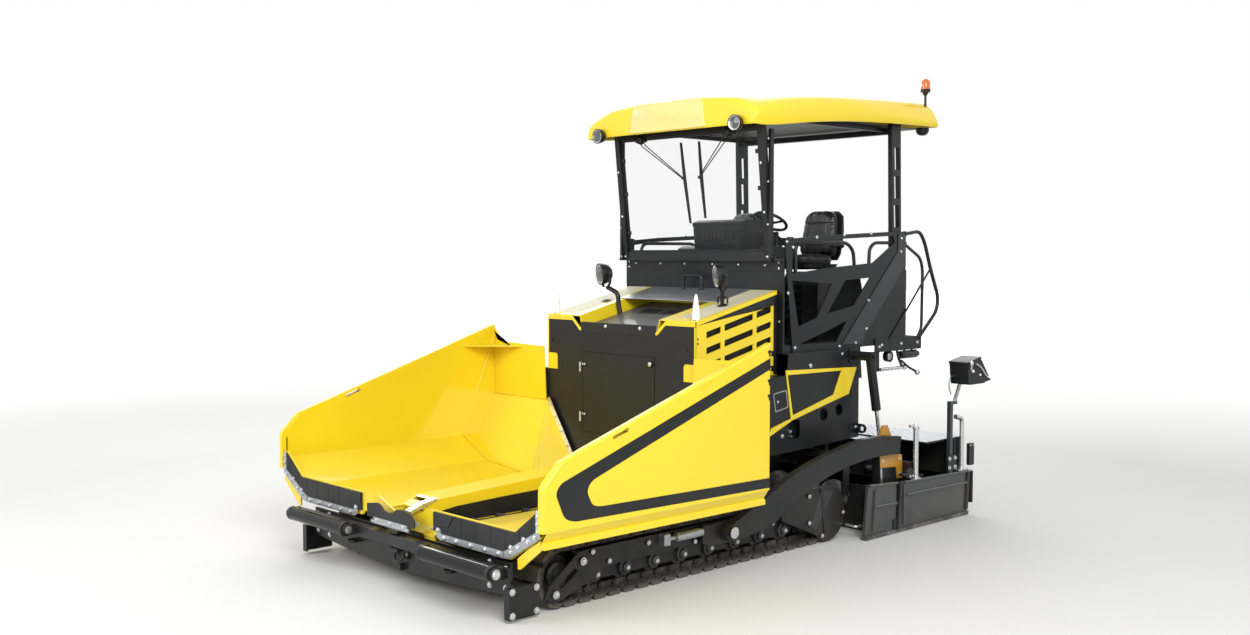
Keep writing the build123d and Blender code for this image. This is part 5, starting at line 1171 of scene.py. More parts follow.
# %% Desk and steering wheel
desk_line = rounded(
    [
        (-1.425, 2.332), (-1.405, 2.52), (-1.398, 2.575), (-1.400, 2.628), (-1.470, 2.650), (-1.640, 2.640),
        (-1.945, 2.480), (-1.958, 2.332),
    ],
    [0.01, 0.02, 0.008, 0.012, 0.03, 0.05, 0.03, 0.01],
)
DESK_Y = 0.130
desk = Form()
desk.rings([[(x, DESK_Y + aside, z) for x, z in desk_line] for aside in (-0.282, -0.276, 0.276, 0.282)])
lid_line = rounded(
    [
        (-1.392, 2.600), (-1.390, 2.634), (-1.472, 2.660), (-1.642, 2.650), (-1.950, 2.488), (-1.950, 2.474),
        (-1.642, 2.636), (-1.474, 2.644),
    ],
    [0.005, 0.012, 0.03, 0.03, 0.005, 0.005, 0.03, 0.03],
)
desk.slab("y", DESK_Y - 0.288, DESK_Y + 0.288, lid_line)
foot_line = ((-0.262, 2.352), (0.262, 2.352), (0.272, 2.372), (0.272, 2.400), (-0.272, 2.400), (-0.272, 2.372))
desk.slab("x", -1.412, -1.396, rounded([(DESK_Y + aside, z) for aside, z in foot_line], 0.008))
tray_line = rounded(
    [(-1.440, 2.332), (-1.432, 2.405), (-1.50, 2.432), (-1.90, 2.415), (-1.958, 2.395), (-1.958, 2.332)], 0.012,
)
for low, high in ((-0.379, -0.150), (0.410, 0.559)):
    desk.slab("y", low, high, tray_line)
column = rounded([(-1.500, 1.600), (-1.460, 2.333), (-1.760, 2.333), (-1.640, 1.600)], 0.012)
desk.slab("y", -0.120, 0.300, column)
shown_desk = desk.done("desk_shell", black_plastic, edge=0.006)
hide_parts("console")
relief = Form()
for k in range(8):
    y = DESK_Y - 0.168 + k * 0.048
    relief.slab("x", -1.412, -1.399 if k % 2 else -1.402, rect(y - 0.014, 2.478, y + 0.014, 2.556, 0.006))
relief.slab("x", -1.414, -1.404, oblong(DESK_Y, 2.452, 0.46, 0.010, 0.004))
relief.done("desk_ribs", black_plastic, edge=0.002)

panels = Form()
CREST_X, CREST_Z = -1.642, 2.650  # where the desk's panel begins to slant
slope = (2.488 - CREST_Z) / (-1.950 - CREST_X)


def desk_top(x):
    """Height of the desk's slanting panel."""
    return CREST_Z + (x - CREST_X) * slope


for y, x, wide, long in (
    (-0.06, -1.73, 0.12, 0.09), (0.12, -1.70, 0.15, 0.06), (0.12, -1.80, 0.15, 0.06), (0.30, -1.71, 0.10, 0.05),
):
    panel_line = rect(x - long, y - wide / 2, x + long * 0.4, y + wide / 2)
    panels.rings([[(u, v, desk_top(u) + lift) for u, v in panel_line] for lift in (-0.002, 0.005)])
panels.done("desk_panels", engine_grey, edge=0.003)
knobs = Form()
key_line = [(0, 0.010), (0.010, 0.010), (0.012, 0.008), (0.022, 0.006), (0.023, 0.001)]
stick_line = [
    (0, 0.030), (0.012, 0.026), (0.018, 0.010), (0.085, 0.008), (0.090, 0.018), (0.120, 0.021), (0.132, 0.014),
    (0.134, 0.001),
]
random.seed(7)
for k in range(24):
    x = -1.66 - 0.034 * (k // 6) - 0.02
    y = -0.10 + 0.075 * (k % 6) + random.uniform(-0.004, 0.004)
    knobs.turn((x, y, desk_top(x) + 0.004), (-slope, 0, 1), key_line, 12)
for y, x in ((-0.30, -1.62), (-0.30, -1.74), (0.50, -1.60), (0.50, -1.76)):
    knobs.turn((x, y, 2.42), UP, stick_line, 16)
knobs.done("desk_knobs", black_plastic)
caps = Form()
for x, y in ((-1.70, -0.11), (-1.66, -0.11), (-1.86, 0.05), (-1.86, 0.13)):
    caps.turn(
        (x, y, desk_top(x) + 0.003), (-slope, 0, 1), [(0, 0.014), (0.010, 0.014), (0.013, 0.010), (0.014, 0.001)],
        14,
    )
caps.done("desk_lamps", amber_lens)

WHEEL_MIDDLE = Vector((-1.850, 0.350, 2.640))
WHEEL_TILT = math.radians(-30)
wheel_up = Vector((math.sin(WHEEL_TILT), 0, math.cos(WHEEL_TILT)))
wheel_side = Vector((math.cos(WHEEL_TILT), 0, -math.sin(WHEEL_TILT)))
WHEEL_RADIUS = 0.150
wheel = Form()
rim = circle(WHEEL_MIDDLE + wheel_up * 0.008, wheel_side, Vector(LEFT), WHEEL_RADIUS, 48)
wheel.bar(rim + rim[:1], 0.0135, 12)
for angle in (90, 210, 330):
    a = math.radians(angle)
    way = wheel_side * math.cos(a) + Vector(LEFT) * math.sin(a)
    spoke = ((0.02, -0.012), (0.08, -0.004), (WHEEL_RADIUS, 0.008))
    wheel.strip([WHEEL_MIDDLE + way * out + wheel_up * lift for out, lift in spoke], 0.026, 0.006, wheel_up.cross(way))
wheel.turn(
    WHEEL_MIDDLE - wheel_up * 0.025, wheel_up,
    [(0, 0.030), (0.02, 0.040), (0.035, 0.040), (0.042, 0.030), (0.044, 0.001)], 28,
)
wheel.bar([(-1.8004, 0.350, 2.5558), WHEEL_MIDDLE - wheel_up * 0.02], 0.020, 20)
wheel.turn((-1.795, 0.350, 2.535), (-0.5, 0, 0.86), [(0, 0.050), (0.02, 0.046), (0.05, 0.030), (0.052, 0.020)], 24)
shown_wheel = wheel.done("wheel_rim", black_plastic)
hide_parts("steering_wheel")
print("desk and steering wheel ready")

# %% [markdown]
# ## The two seats
#
# Each of them has two foam cushions under vinyl. Foam pushes its cover out until the cover is tight,
# which is what cloth under pressure does: the slightly smaller shape is remeshed evenly, swells for
# twenty steps, and no point may move further than the foam would push it. The seams are pressed in after.

# %% Cushions swelled by pressure
SWELL_CAP = 0.014  # most that a point may move
VOXEL = 0.006
SWELL_STEPS = 20
FLAT_SHARE = 0.45  # share of a pad's half width that has no bolster
SEAM = 0.006  # depth of a seam and half of its width


def cushion_form(width, length, height, bolster, waist):
    """Rings of a pad: tight foot, full middle, crowned top with raised sides."""
    pad = Form()
    layers = [
        (0.0, 0.90), (0.12, 0.97), (0.45, 1.0), (0.75, 0.98), (0.92, 0.90), (1.0, 0.74), (1.03, 0.45), (1.03, 0.15),
    ]
    half, reach = width / 2, length / 2
    outline = rounded([(-half, -reach), (half, -reach), (half * waist, reach), (-half * waist, reach)], 0.11, 7)
    rings = []
    for level, scale in layers:
        rings.append(
            [
                (
                    u * scale, v * scale,
                    height * level + bolster * max(0.0, abs(u) / half * scale - FLAT_SHARE) * level,
                )
                for u, v in outline
            ]
        )
    return pad.rings(rings)


def swell(piece):
    """Voxel remesh, then cloth under pressure, then the cap on how far a point moved."""
    remesh = piece.modifiers.new("even mesh", "REMESH")
    remesh.mode = "VOXEL"
    remesh.voxel_size = VOXEL
    depsgraph = bpy.context.evaluated_depsgraph_get()
    even = bpy.data.meshes.new_from_object(piece.evaluated_get(depsgraph))
    piece.modifiers.clear()
    piece.data = even
    before = [vert.co.copy() for vert in even.vertices]
    cloth = piece.modifiers.new("swell", "CLOTH")
    cloth.settings.use_pressure = True
    cloth.settings.uniform_pressure_force = 4.0
    cloth.settings.effector_weights.gravity = 0.0
    for step in range(1, SWELL_STEPS + 1):
        bpy.context.scene.frame_set(step)
    depsgraph = bpy.context.evaluated_depsgraph_get()
    swollen = bpy.data.meshes.new_from_object(piece.evaluated_get(depsgraph))
    piece.modifiers.clear()
    for vert, old in zip(swollen.vertices, before):
        moved = vert.co - old
        if moved.length > SWELL_CAP:
            vert.co = old + moved.normalized() * SWELL_CAP
    piece.data = swollen
    bpy.context.scene.frame_set(1)


def cushion(name, width, length, height, bolster, waist, seams):
    """A swollen pad with pressed seams, in its own frame: X across, Y along, Z out."""
    pad = cushion_form(width, length, height, bolster, waist)
    data = bpy.data.meshes.new(name)
    bmesh.ops.recalc_face_normals(pad.mesh, faces=pad.mesh.faces)
    pad.mesh.to_mesh(data)
    pad.mesh.free()
    piece = bpy.data.objects.new(name, data)
    bpy.context.scene.collection.objects.link(piece)
    swell(piece)
    data = piece.data
    for vert in data.vertices:
        x, y, z = vert.co
        if z > height * 0.55:
            depth = sum(math.exp(-((x * nx + y * ny - shift) / SEAM) ** 2) for nx, ny, shift in seams)
            vert.co.z -= SEAM * min(depth, 1.0)
        rim_depth = math.exp(-((z - height * 0.45) / 0.005) ** 2)
        vert.co.x *= 1 - 0.012 * rim_depth
        vert.co.y *= 1 - 0.012 * rim_depth
    for face in data.polygons:
        face.use_smooth = True
    data.materials.clear()
    data.materials.append(seat_vinyl)
    soft = piece.modifiers.new("smooth skin", "SUBSURF")
    soft.levels = soft.render_levels = 1
    return piece


def lay(piece, name, foot, across, along):
    """The same pad as an object of its own, turned and set down in the machine's frame."""
    set_down = piece if piece.name == name else bpy.data.objects.new(name, piece.data.copy())
    if set_down is not piece:
        bpy.context.scene.collection.objects.link(set_down)
        soft = set_down.modifiers.new("smooth skin", "SUBSURF")
        soft.levels = soft.render_levels = 1
    across, along = Vector(across).normalized(), Vector(along).normalized()
    set_down.data.transform(axes_at(across, along, across.cross(along), at(*foot)))
    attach(set_down, "chassis")
    return set_down


SEAT_Y = 0.450
pan_seams = [(1, 0, 0.135), (1, 0, -0.135), (0, 1, 0.05)]
back_seams = [(1, 0, 0.125), (1, 0, -0.125), (0, 1, 0.09), (0, 1, -0.08)]
pan_pad = cushion("seat_pad_left", 0.455, 0.450, 0.072, 0.040, 0.94, pan_seams)
back_pad = cushion("back_pad_left", 0.430, 0.450, 0.062, 0.055, 0.80, back_seams)
pan_along, back_along = Vector((1, 0, 0.045)), Vector((-0.14, 0, 1))
pan_copy, back_copy = pan_pad.copy(), back_pad.copy()
pan_copy.data, back_copy.data = pan_pad.data.copy(), back_pad.data.copy()
for side_name, side, pan, back in (("left", 1, pan_pad, back_pad), ("right", -1, pan_copy, back_copy)):
    lay(pan, f"seat_pad_{side_name}", (-2.165, side * SEAT_Y, 2.262), RIGHT, pan_along)
    lay(back, f"back_pad_{side_name}", (-2.470, side * SEAT_Y, 2.535), LEFT, back_along)
print("cushion points", len(pan_pad.data.vertices), len(back_pad.data.vertices))

# %% [markdown]
# Behind and below the cushions are a moulded back shell, a pan, a rubber bellows over the suspension,
# and a padded arm rest on each side. Lockers stand on the deck beside the bellows and behind it.

# %% Shells, bellows and arm rests of the seats
arm_line = rounded(
    [(-2.03, 2.478), (-2.05, 2.440), (-2.40, 2.430), (-2.42, 2.480), (-2.40, 2.505), (-2.06, 2.505)], 0.014,
)
for side_name, side in SIDES:
    frame_parts = Form()
    rows = []
    for z, w, lean in (
        (2.300, 0.165, 0.0), (2.36, 0.20, 0.008), (2.56, 0.212, 0.036), (2.70, 0.19, 0.056), (2.745, 0.13, 0.062),
    ):
        back_line = rounded([(-2.468, -w), (-2.468, w), (-2.520, w * 0.85), (-2.520, -w * 0.85)], 0.018)
        rows.append([(x - lean, SEAT_Y + y, z) for x, y in back_line])
    frame_parts.rings(rows)
    frame_parts.rings([[(x, SEAT_Y + y, z) for x, y in rect(-1.955 - grow, -w, -2.440 + grow, w, 0.06)]
                       for z, w, grow in ((2.222, 0.185, 0.05), (2.240, 0.215, 0.01), (2.268, 0.225, 0.0))])
    for k in range(6):
        z = 1.75 + k * 0.075
        half = 0.118 if k % 2 else 0.128
        frame_parts.rings(
            [
                [
                    (x, SEAT_Y + y, z + dz)
                    for x, y in rect(-2.06 + grow, -half - grow, -2.37 - grow, half + grow, 0.05)
                ]
                for dz, grow in ((0.0, -0.012), (0.036, 0.004), (0.075, -0.012))
            ]
        )
    frame_parts.slab("z", 1.600, 1.632, rect(-2.03, SEAT_Y - 0.15, -2.40, SEAT_Y + 0.15, 0.03))
    frame_parts.rings([[(x, SEAT_Y + y, z) for x, y in rect(-2.08, -0.11, -2.36, 0.11, 0.03)] for z in (1.63, 1.76)])
    for s in (-1, 1):
        y = SEAT_Y + s * 0.250
        frame_parts.slab("y", y - 0.026, y + 0.026, arm_line)
        frame_parts.bar(
            [(-2.40, y, 2.455), (-2.475, y - s * 0.015, 2.43), (-2.49, y - s * 0.05, 2.42)], 0.013, 10, 0.02,
        )
    body = frame_parts.done(f"seat_shell_{side_name}", black_plastic, "chassis", side, edge=0.005)
    if side > 0:
        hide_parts("seats")
lockers = Form()
locker_line = rounded([(-1.985, 1.603), (-1.985, 2.090), (-2.020, 2.150), (-2.600, 2.150), (-2.760, 1.603)], 0.015)
for low, high in ((0.120, 0.300), (0.600, 0.780)):
    lockers.slab("y", low, high, locker_line)
lockers.slab("y", 0.290, 0.610, rounded([(-2.410, 1.603), (-2.410, 2.120), (-2.590, 2.120), (-2.740, 1.603)], 0.015))
lockers.mirror().done("seat_lockers", black_plastic, slot="charcoal_paint", edge=0.004)
print("seat shells ready")

# %% [markdown]
# A hand rail is one tube, bent without a kink and welded at its feet, so it is swept along a path with
# rounded corners. The front pane stands in a black rubber seal with clamps, and two twin-armed wipers
# hang before it from their motors.

# %% Hand rails, wipers and the pane's seal
RAIL_Y, STEP_RAIL_Y = 0.923, 0.944
rails = Form()
for y, size, path in (
    (RAIL_Y, 0.0155, ((-1.500, 2.190), (-1.500, 2.456), (-2.203, 2.456), (-2.296, 2.390), (-2.314, 2.240))),
    (RAIL_Y, 0.0155, ((-2.525, 2.260), (-2.535, 2.410), (-2.610, 2.459), (-2.850, 2.459))),
    (STEP_RAIL_Y, 0.0165, ((-3.040, 2.540), (-3.285, 2.570), (-3.371, 2.463), (-3.472, 2.215), (-3.604, 1.954),
                           (-3.585, 1.824), (-3.290, 1.580))),
    (STEP_RAIL_Y, 0.0140, ((-3.040, 2.450), (-3.299, 2.322), (-3.340, 2.217), (-3.331, 1.661), (-3.258, 1.580))),
    (0.9495, 0.009, ((-3.470, 2.230), (-2.810, 1.580))),
):
    rails.bar([(x, y, z) for x, z in path], size, 14, 0.09, 7)
for x, z in ((-3.046, 2.541), (-3.046, 2.447)):
    rails.slab("y", 0.937, 0.951, oblong(x + 0.004, z, 0.05, 0.05, 0.012))
shown_rails = rails.mirror().done("smooth_rails", charcoal_paint)
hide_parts("hand_rails")

PANE_LEAN = 0.115
PANE_FOOT, PANE_TOP = 2.380, 3.380
PANE_HALF = 0.824  # half of the seal's width


def pane_x(z):
    """Front face of the leaning pane at a height."""
    return -1.259 + PANE_LEAN * (z - PANE_FOOT)


wipers = Form()
MOTOR_Z, TIP_Z = 3.372, 3.014
motor_x, tip_x = pane_x(3.36), pane_x(3.014)
for foot_y, tip_y, blade in (
    (0.512, 0.145, ((0.159, 3.318), (0.168, 2.666))),
    (-0.540, -0.050, ((-0.056, 3.321), (-0.013, 2.625))),
):
    for step in (-0.028, 0.028):
        knee = (pane_x(3.30) + 0.040, foot_y * 0.88 + tip_y * 0.12 + step * 0.9, 3.31)
        tip = (pane_x(3.016) + 0.028, tip_y + step * 0.25, TIP_Z)
        wipers.bar([(motor_x + 0.045, foot_y + step, MOTOR_Z), knee, tip], 0.0048, 8)
    (y0, z0), (y1, z1) = blade
    bow = [(pane_x(z0) + 0.022, y0, z0), (pane_x(3.0) + 0.032, (y0 + y1) / 2, 3.0), (pane_x(z1) + 0.022, y1, z1)]
    wipers.bar(bow, lambda t: 0.0045 + 0.0035 * math.sin(math.pi * t), 8)
    wipers.strip([(pane_x(z0) + 0.011, y0, z0), (pane_x(z1) + 0.011, y1, z1)], 0.020, 0.006, AHEAD)
    motor_line = [(0, 0.040), (0.035, 0.038), (0.045, 0.026), (0.047, 0.001)]
    wipers.turn((motor_x + 0.01, foot_y, MOTOR_Z), AHEAD, motor_line, 18)
    wipers.box(pane_x(3.38), pane_x(3.38) + 0.032, foot_y - 0.06, foot_y + 0.06, 3.350, 3.392)
    wipers.turn((tip_x + 0.018, tip_y, TIP_Z), AHEAD, [(0, 0.012), (0.02, 0.012), (0.022, 0.001)], 12)
wipers.done("wiper_arms", black_plastic)
seals = Form()
upright = rect(-0.014, 0.808, 0.006, PANE_HALF)
for s in (-1, 1):
    seals.rings([[(pane_x(z) + proud, s * y, z) for proud, y in upright] for z in (PANE_FOOT, PANE_TOP)])
for z0, z1 in ((2.376, 2.394), (3.366, 3.384)):
    crossbar = [(pane_x(z) + proud, z) for proud, z in ((-0.014, z0), (0.006, z0), (0.006, z1), (-0.014, z1))]
    seals.rings([[(x, y, z) for x, z in crossbar] for y in (-PANE_HALF, PANE_HALF)])
for s in (-1, 1):
    for z in (2.55, 2.90, 3.20):
        seals.box(pane_x(z), pane_x(z) + 0.016, *sorted((s * 0.780, s * 0.845)), z - 0.018, z + 0.018)
seals.done("pane_seal", black_rubber, edge=0.001)
print("rails, wipers and seals placed")

# %% [markdown]
# ## Canopy
#
# The roof is one moulded shell with a raised middle, flanks that curve down to a crease and a deep front
# with a plain plate. It is made as cross-sections along the machine, each through points at the same
# creases, and subdivided, so the skin is one continuous curve. Thickness comes from a solidify.

# %% Roof shell from cross-sections
STATIONS = [
    # x, lean of the section, heights of crown, shoulder, crease and lip, half width
    (-0.908, 0.000, 3.640, 3.530, 3.480, 3.392, 1.00),
    (-0.925, 0.010, 3.656, 3.572, 3.505, 3.388, 1.01),
    (-1.010, 0.0, 3.676, 3.606, 3.530, 3.380, 1.025),
    (-1.240, 0.0, 3.694, 3.654, 3.562, 3.402, 1.05),
    (-1.570, 0.0, 3.718, 3.694, 3.620, 3.444, 1.055),
    (-2.090, 0.0, 3.742, 3.726, 3.648, 3.487, 1.06),
    (-2.650, 0.0, 3.772, 3.760, 3.616, 3.510, 1.06),
    (-3.240, 0.0, 3.788, 3.776, 3.580, 3.521, 1.06),
    (-3.325, -0.05, 3.788, 3.776, 3.572, 3.522, 1.06),
    (-3.345, -0.05, 3.784, 3.772, 3.570, 3.5225, 1.058),
]


def roof_section(x, lean, crown, shoulder, crease, lip, half):
    """One half of the roof at a station, from the middle out and down to the lip."""
    step = 0.014  # the raised middle stands this high
    points = [(0.0, crown), (0.20, crown), (0.405, crown - 0.002), (0.470, crown - step), (0.70, crown - step - 0.006),
              (half - 0.16, shoulder + (crown - shoulder) * 0.15), (half - 0.05, shoulder - (shoulder - crease) * 0.35),
              (half, crease), (half - 0.004, (crease + lip) / 2), (half - 0.015, lip)]
    return [(x + lean * (crown - z) / max(crown - lip, 0.01), y, z) for y, z in points]


roof = Form()
rings = []
for station in STATIONS:
    left = roof_section(*station)
    rings.append([(x, -y, z) for x, y, z in reversed(left[1:])] + left)
roof.rings(rings, closed=False, caps=False)
front_ring = rings[0]
FRONT_LIP = 3.392
half_way = [(-0.903, y, FRONT_LIP + (z - FRONT_LIP) * 0.5) for x, y, z in front_ring]
foot_ring = [(-0.905, y, min(z, FRONT_LIP)) for x, y, z in front_ring]
roof.rings([front_ring, half_way, foot_ring], closed=False, caps=False)
REAR_DROP = 0.075  # the rear face leans out by this much down to the lip
REAR_LIP, REAR_HEIGHT = 3.5225, 0.26
rear_ring = rings[-1]
rear_rows = []
for share in (0.0, 0.10, 0.5, 1.0):
    rear_rows.append([(x - 0.006 - REAR_DROP * share * min(1.0, (z - REAR_LIP) / REAR_HEIGHT), y * (1 - 0.004 * share),
                       z + (3.524 - z) * share) for x, y, z in rear_ring])
roof.rings([rear_ring] + rear_rows, closed=False, caps=False)
shown_roof = roof.done("roof_shell", yellow_paint, sharp=180, level=2, thick=0.012)
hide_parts("canopy")

plate = Form()
plate_line = rounded([(-0.450, 3.408), (0.450, 3.408), (0.405, 3.648), (-0.405, 3.648)], [0.015, 0.015, 0.05, 0.05])
plate.rings([[(-0.899 + depth - (0.004 if z > 3.5 else 0.0), y * grow, z) for y, z in plate_line]
             for depth, grow in ((-0.020, 1.0), (0.0, 1.0), (0.004, 0.988))])
plate.done("roof_front_plate", pale_yellow, sharp=40)

under = Form()
for x in (-1.180, -2.900):
    under.box(x - 0.030, x + 0.030, -0.90, 0.90, 3.440, 3.490)
for s in (-1, 1):
    under.box(-3.02, -1.00, *sorted((s * 0.800, s * 0.845)), 3.462, 3.500)
    under.rings([[(x, s * y, z) for y, z in rect(0.895, 3.470, 0.940, 3.70)] for x in (-2.835, -2.975)])
under.slab("z", 3.505, 3.511, rect(-1.02, -0.93, -3.28, 0.93, 0.05))
under.done("roof_bearers", charcoal_paint, edge=0.003)

# %% [markdown]
# The roof carries work lamps on its front corners and a beacon at the rear. A lamp is a cast bowl with
# a pane before it and stands on a small bracket, so bowl, pane and bracket are separate turned parts.

# %% Lamps of the roof and the beacon
ROOF_LAMP_Y = 0.815
lamp_dark, lamp_bright, lamp_panes = Form(), Form(), Form()
for s in (-1, 1):
    lamp_head(lamp_dark, lamp_bright, lamp_panes, (-0.862, s * ROOF_LAMP_Y, 3.408), (1, s * 0.05, -0.06), 0.062, 0.070)
    lamp_dark.bar([(-0.915, s * ROOF_LAMP_Y, 3.40), (-0.915, s * ROOF_LAMP_Y, 3.47)], 0.018, 12)
    lamp_dark.turn(
        (-3.330, s * 0.93, 3.520), DOWN,
        [(0, 0.060), (0.030, 0.060), (0.055, 0.045), (0.066, 0.022), (0.068, 0.001)], 24,
    )
lamp_dark.done("roof_lamp_bowls", black_plastic)
lamp_bright.done("roof_lamp_mirrors", bright_chrome)
lamp_panes.done("roof_lamp_panes", lamp_glass)
BEACON = Vector((-3.290, 0.985, 3.586))
stem = Form()
stem.bar(
    [BEACON + Vector((0, -0.06, -0.02)), BEACON + Vector((0, 0, 0.02)), BEACON + Vector((0, 0, 0.262))], 0.011, 12,
    0.04,
)
seat_line = [(0, 0.013), (0.010, 0.018), (0.030, 0.030), (0.034, 0.044), (0.056, 0.046), (0.060, 0.042)]
stem.turn(BEACON + Vector((0, 0, 0.225)), UP, seat_line, 24)
stem.box(BEACON.x - 0.035, BEACON.x + 0.035, BEACON.y - 0.09, BEACON.y + 0.025, 3.560, 3.572)
stem.done("beacon_stem", black_plastic)
cap = Form()
cap_line = [(-0.002, 0.043), (0.020, 0.044), (0.022, 0.041), (0.048, 0.0405), (0.050, 0.043), (0.068, 0.040),
            (0.085, 0.030), (0.095, 0.014), (0.0985, 0.001)]
cap.turn(BEACON + Vector((0, 0, 0.285)), UP, cap_line, 32)
cap.done("beacon_cap", amber_lens)

# %% [markdown]
# ## Augers and screed
#
# An auger blade is a helix welded to a shaft: every ring of its skin is turned a little further, and a
# little further out along the shaft. The construction has it in coarse steps, so a finer blade
# takes its place, thin at the rim where the asphalt wears it bright.

# %% Smooth auger blades
AUGER_X, AUGER_Z = -1.822, 0.300
AUGER_PITCH = 0.300
AUGER_FROM, AUGER_TO = 0.110, 1.155
STEPS_PER_TURN, COARSE_STEPS = 40, 12  # of this blade, and of the construction's blade
RIM = ((0.030, -0.007), (0.110, -0.006), (0.146, -0.004), (0.150, -0.0015))  # radius and half thickness
blade_line = RIM + tuple((r, -dy) for r, dy in reversed(RIM))
shaft = [(0, 0.0315), (0.052, 0.0318), (0.056, 0.044), (0.075, 0.044), (0.079, 0.0318), (1.110, 0.0318),
         (1.114, 0.044), (1.132, 0.044), (1.134, 0.0318), (1.175, 0.0315)]
for side_name, side in SIDES:
    blade = Form()
    turns = (AUGER_TO - AUGER_FROM) / AUGER_PITCH
    count = round(turns * STEPS_PER_TURN)
    coarse = round(turns * COARSE_STEPS)
    rings = []
    for k in range(count + 1):
        angle = 2 * math.pi * coarse / COARSE_STEPS * k / count
        y = AUGER_FROM + (AUGER_TO - AUGER_FROM) * k / count
        rings.append([(AUGER_X + r * math.cos(angle), y + dy, AUGER_Z + r * math.sin(angle)) for r, dy in blade_line])
    blade.rings(rings)
    blade.turn((AUGER_X, 0.040, AUGER_Z), LEFT, shaft, 32)
    for y in (0.108, 1.162):
        for k in range(6):
            a = k * math.pi / 3
            way = Vector((math.cos(a), 0, math.sin(a)))
            blade.bolt(Vector((AUGER_X, y, AUGER_Z)) + way * 0.043, way, 0.006)
    shown = blade.done(f"auger_blade_{side_name}", blade_steel, f"auger_{side_name}", side, sharp=50)
    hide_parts(f"auger_{side_name}")
print("auger blades of", count, "steps")

# %% [markdown]
# The screed's walkways are galvanised checker plate: a plain sheet with small raised bars that lie by
# turns one way and the other. One bar is modelled and stamped on a grid. The plates ride on their own
# bodies, so those of the extensions slide out with them.

# %% Checker plates
def checker(name, material, body, side, x0, x1, y0, y1, top, pitch=0.036, sheet=0.004):
    """Sheet with raised bars at right angles to one another, laid on a height."""
    form = Form()
    form.slab("z", top, top + sheet, rect(x0, y0, x1, y1, 0.008))
    rows, columns = int((x1 - x0 - 0.02) / pitch), int((y1 - y0 - 0.02) / pitch)
    bar = Form()
    bar.rings([[(u, v, lift) for u, v in rect(-half, -thin, half, thin)]
               for half, thin, lift in ((0.012, 0.0032, 0), (0.009, 0.0016, 0.0018))])
    frames = []
    for row in range(rows):
        for column in range(columns):
            x, y = x0 + 0.01 + (row + 0.5) * pitch, y0 + 0.01 + (column + 0.5) * pitch
            turn = math.radians(45 if (row + column) % 2 else -45)
            frames.append(Matrix.Translation((x, y, top + sheet - 0.0002)) @ Matrix.Rotation(turn, 4, "Z"))
    stamp(form, bar, frames)
    return form.done(name, material, body, side, "zinc_steel")


checker("walkway_plate", zinc_steel, "screed", 1, -2.638, -2.442, -1.120, 1.120, 0.7040)
checker("step_plate_left", zinc_steel, "extension_left", 1, -3.276, -2.702, 0.030, 1.420, 0.7100)
checker("step_plate_right", zinc_steel, "extension_right", -1, -3.276, -2.702, 0.030, 1.420, 0.7100)
checker("deck_plate", charcoal_paint, "chassis", 1, -3.075, -1.365, -0.918, 0.918, 1.6003, 0.05, 0.003)

fittings = Form()
MOTORS = (-1.02, -0.62, 0.62, 1.02)
motor_line = [(-0.14, 0.001), (-0.14, 0.050), (-0.132, 0.058), (0.02, 0.058), (0.028, 0.050), (0.029, 0.001)]
socket_line = ((-0.07, 0.402), (0.07, 0.402), (0.07, 0.475), (0.055, 0.49), (-0.055, 0.49), (-0.07, 0.475))
for y in MOTORS:
    fittings.turn((-2.47, y, 0.47), AHEAD, motor_line, 24)
for y in (-0.85, -0.25, 0.25, 0.85):
    fittings.slab("x", -2.600, -2.500, rounded([(y + aside, z) for aside, z in socket_line], 0.01))
fittings.done("screed_boxes", black_plastic, "screed", edge=0.003)
clips = Form()
for y in MOTORS:
    clips.turn(
        (-2.435, y, 0.47), AHEAD, [(-0.004, 0.030), (0.018, 0.028), (0.022, 0.016), (0.034, 0.014), (0.035, 0.001)],
        20,
    )
clips.bolts([(-2.54, y, 0.718) for y in (-1.09, -0.36, 0.36, 1.09)], UP, 0.009)
clips.bolts([(-2.15 - 0.09 * k, 1.2712, 0.36) for k in range(3)], LEFT, 0.010)
clips.done("screed_clips", bolt_zinc, "screed")

# %% [markdown]
# Each end gate has a worn skid, bright edges on its ribs, two zinc height spindles with bolted feet
# and the outside operator's post. Next to the tow arm's foot stands an ochre bracket.

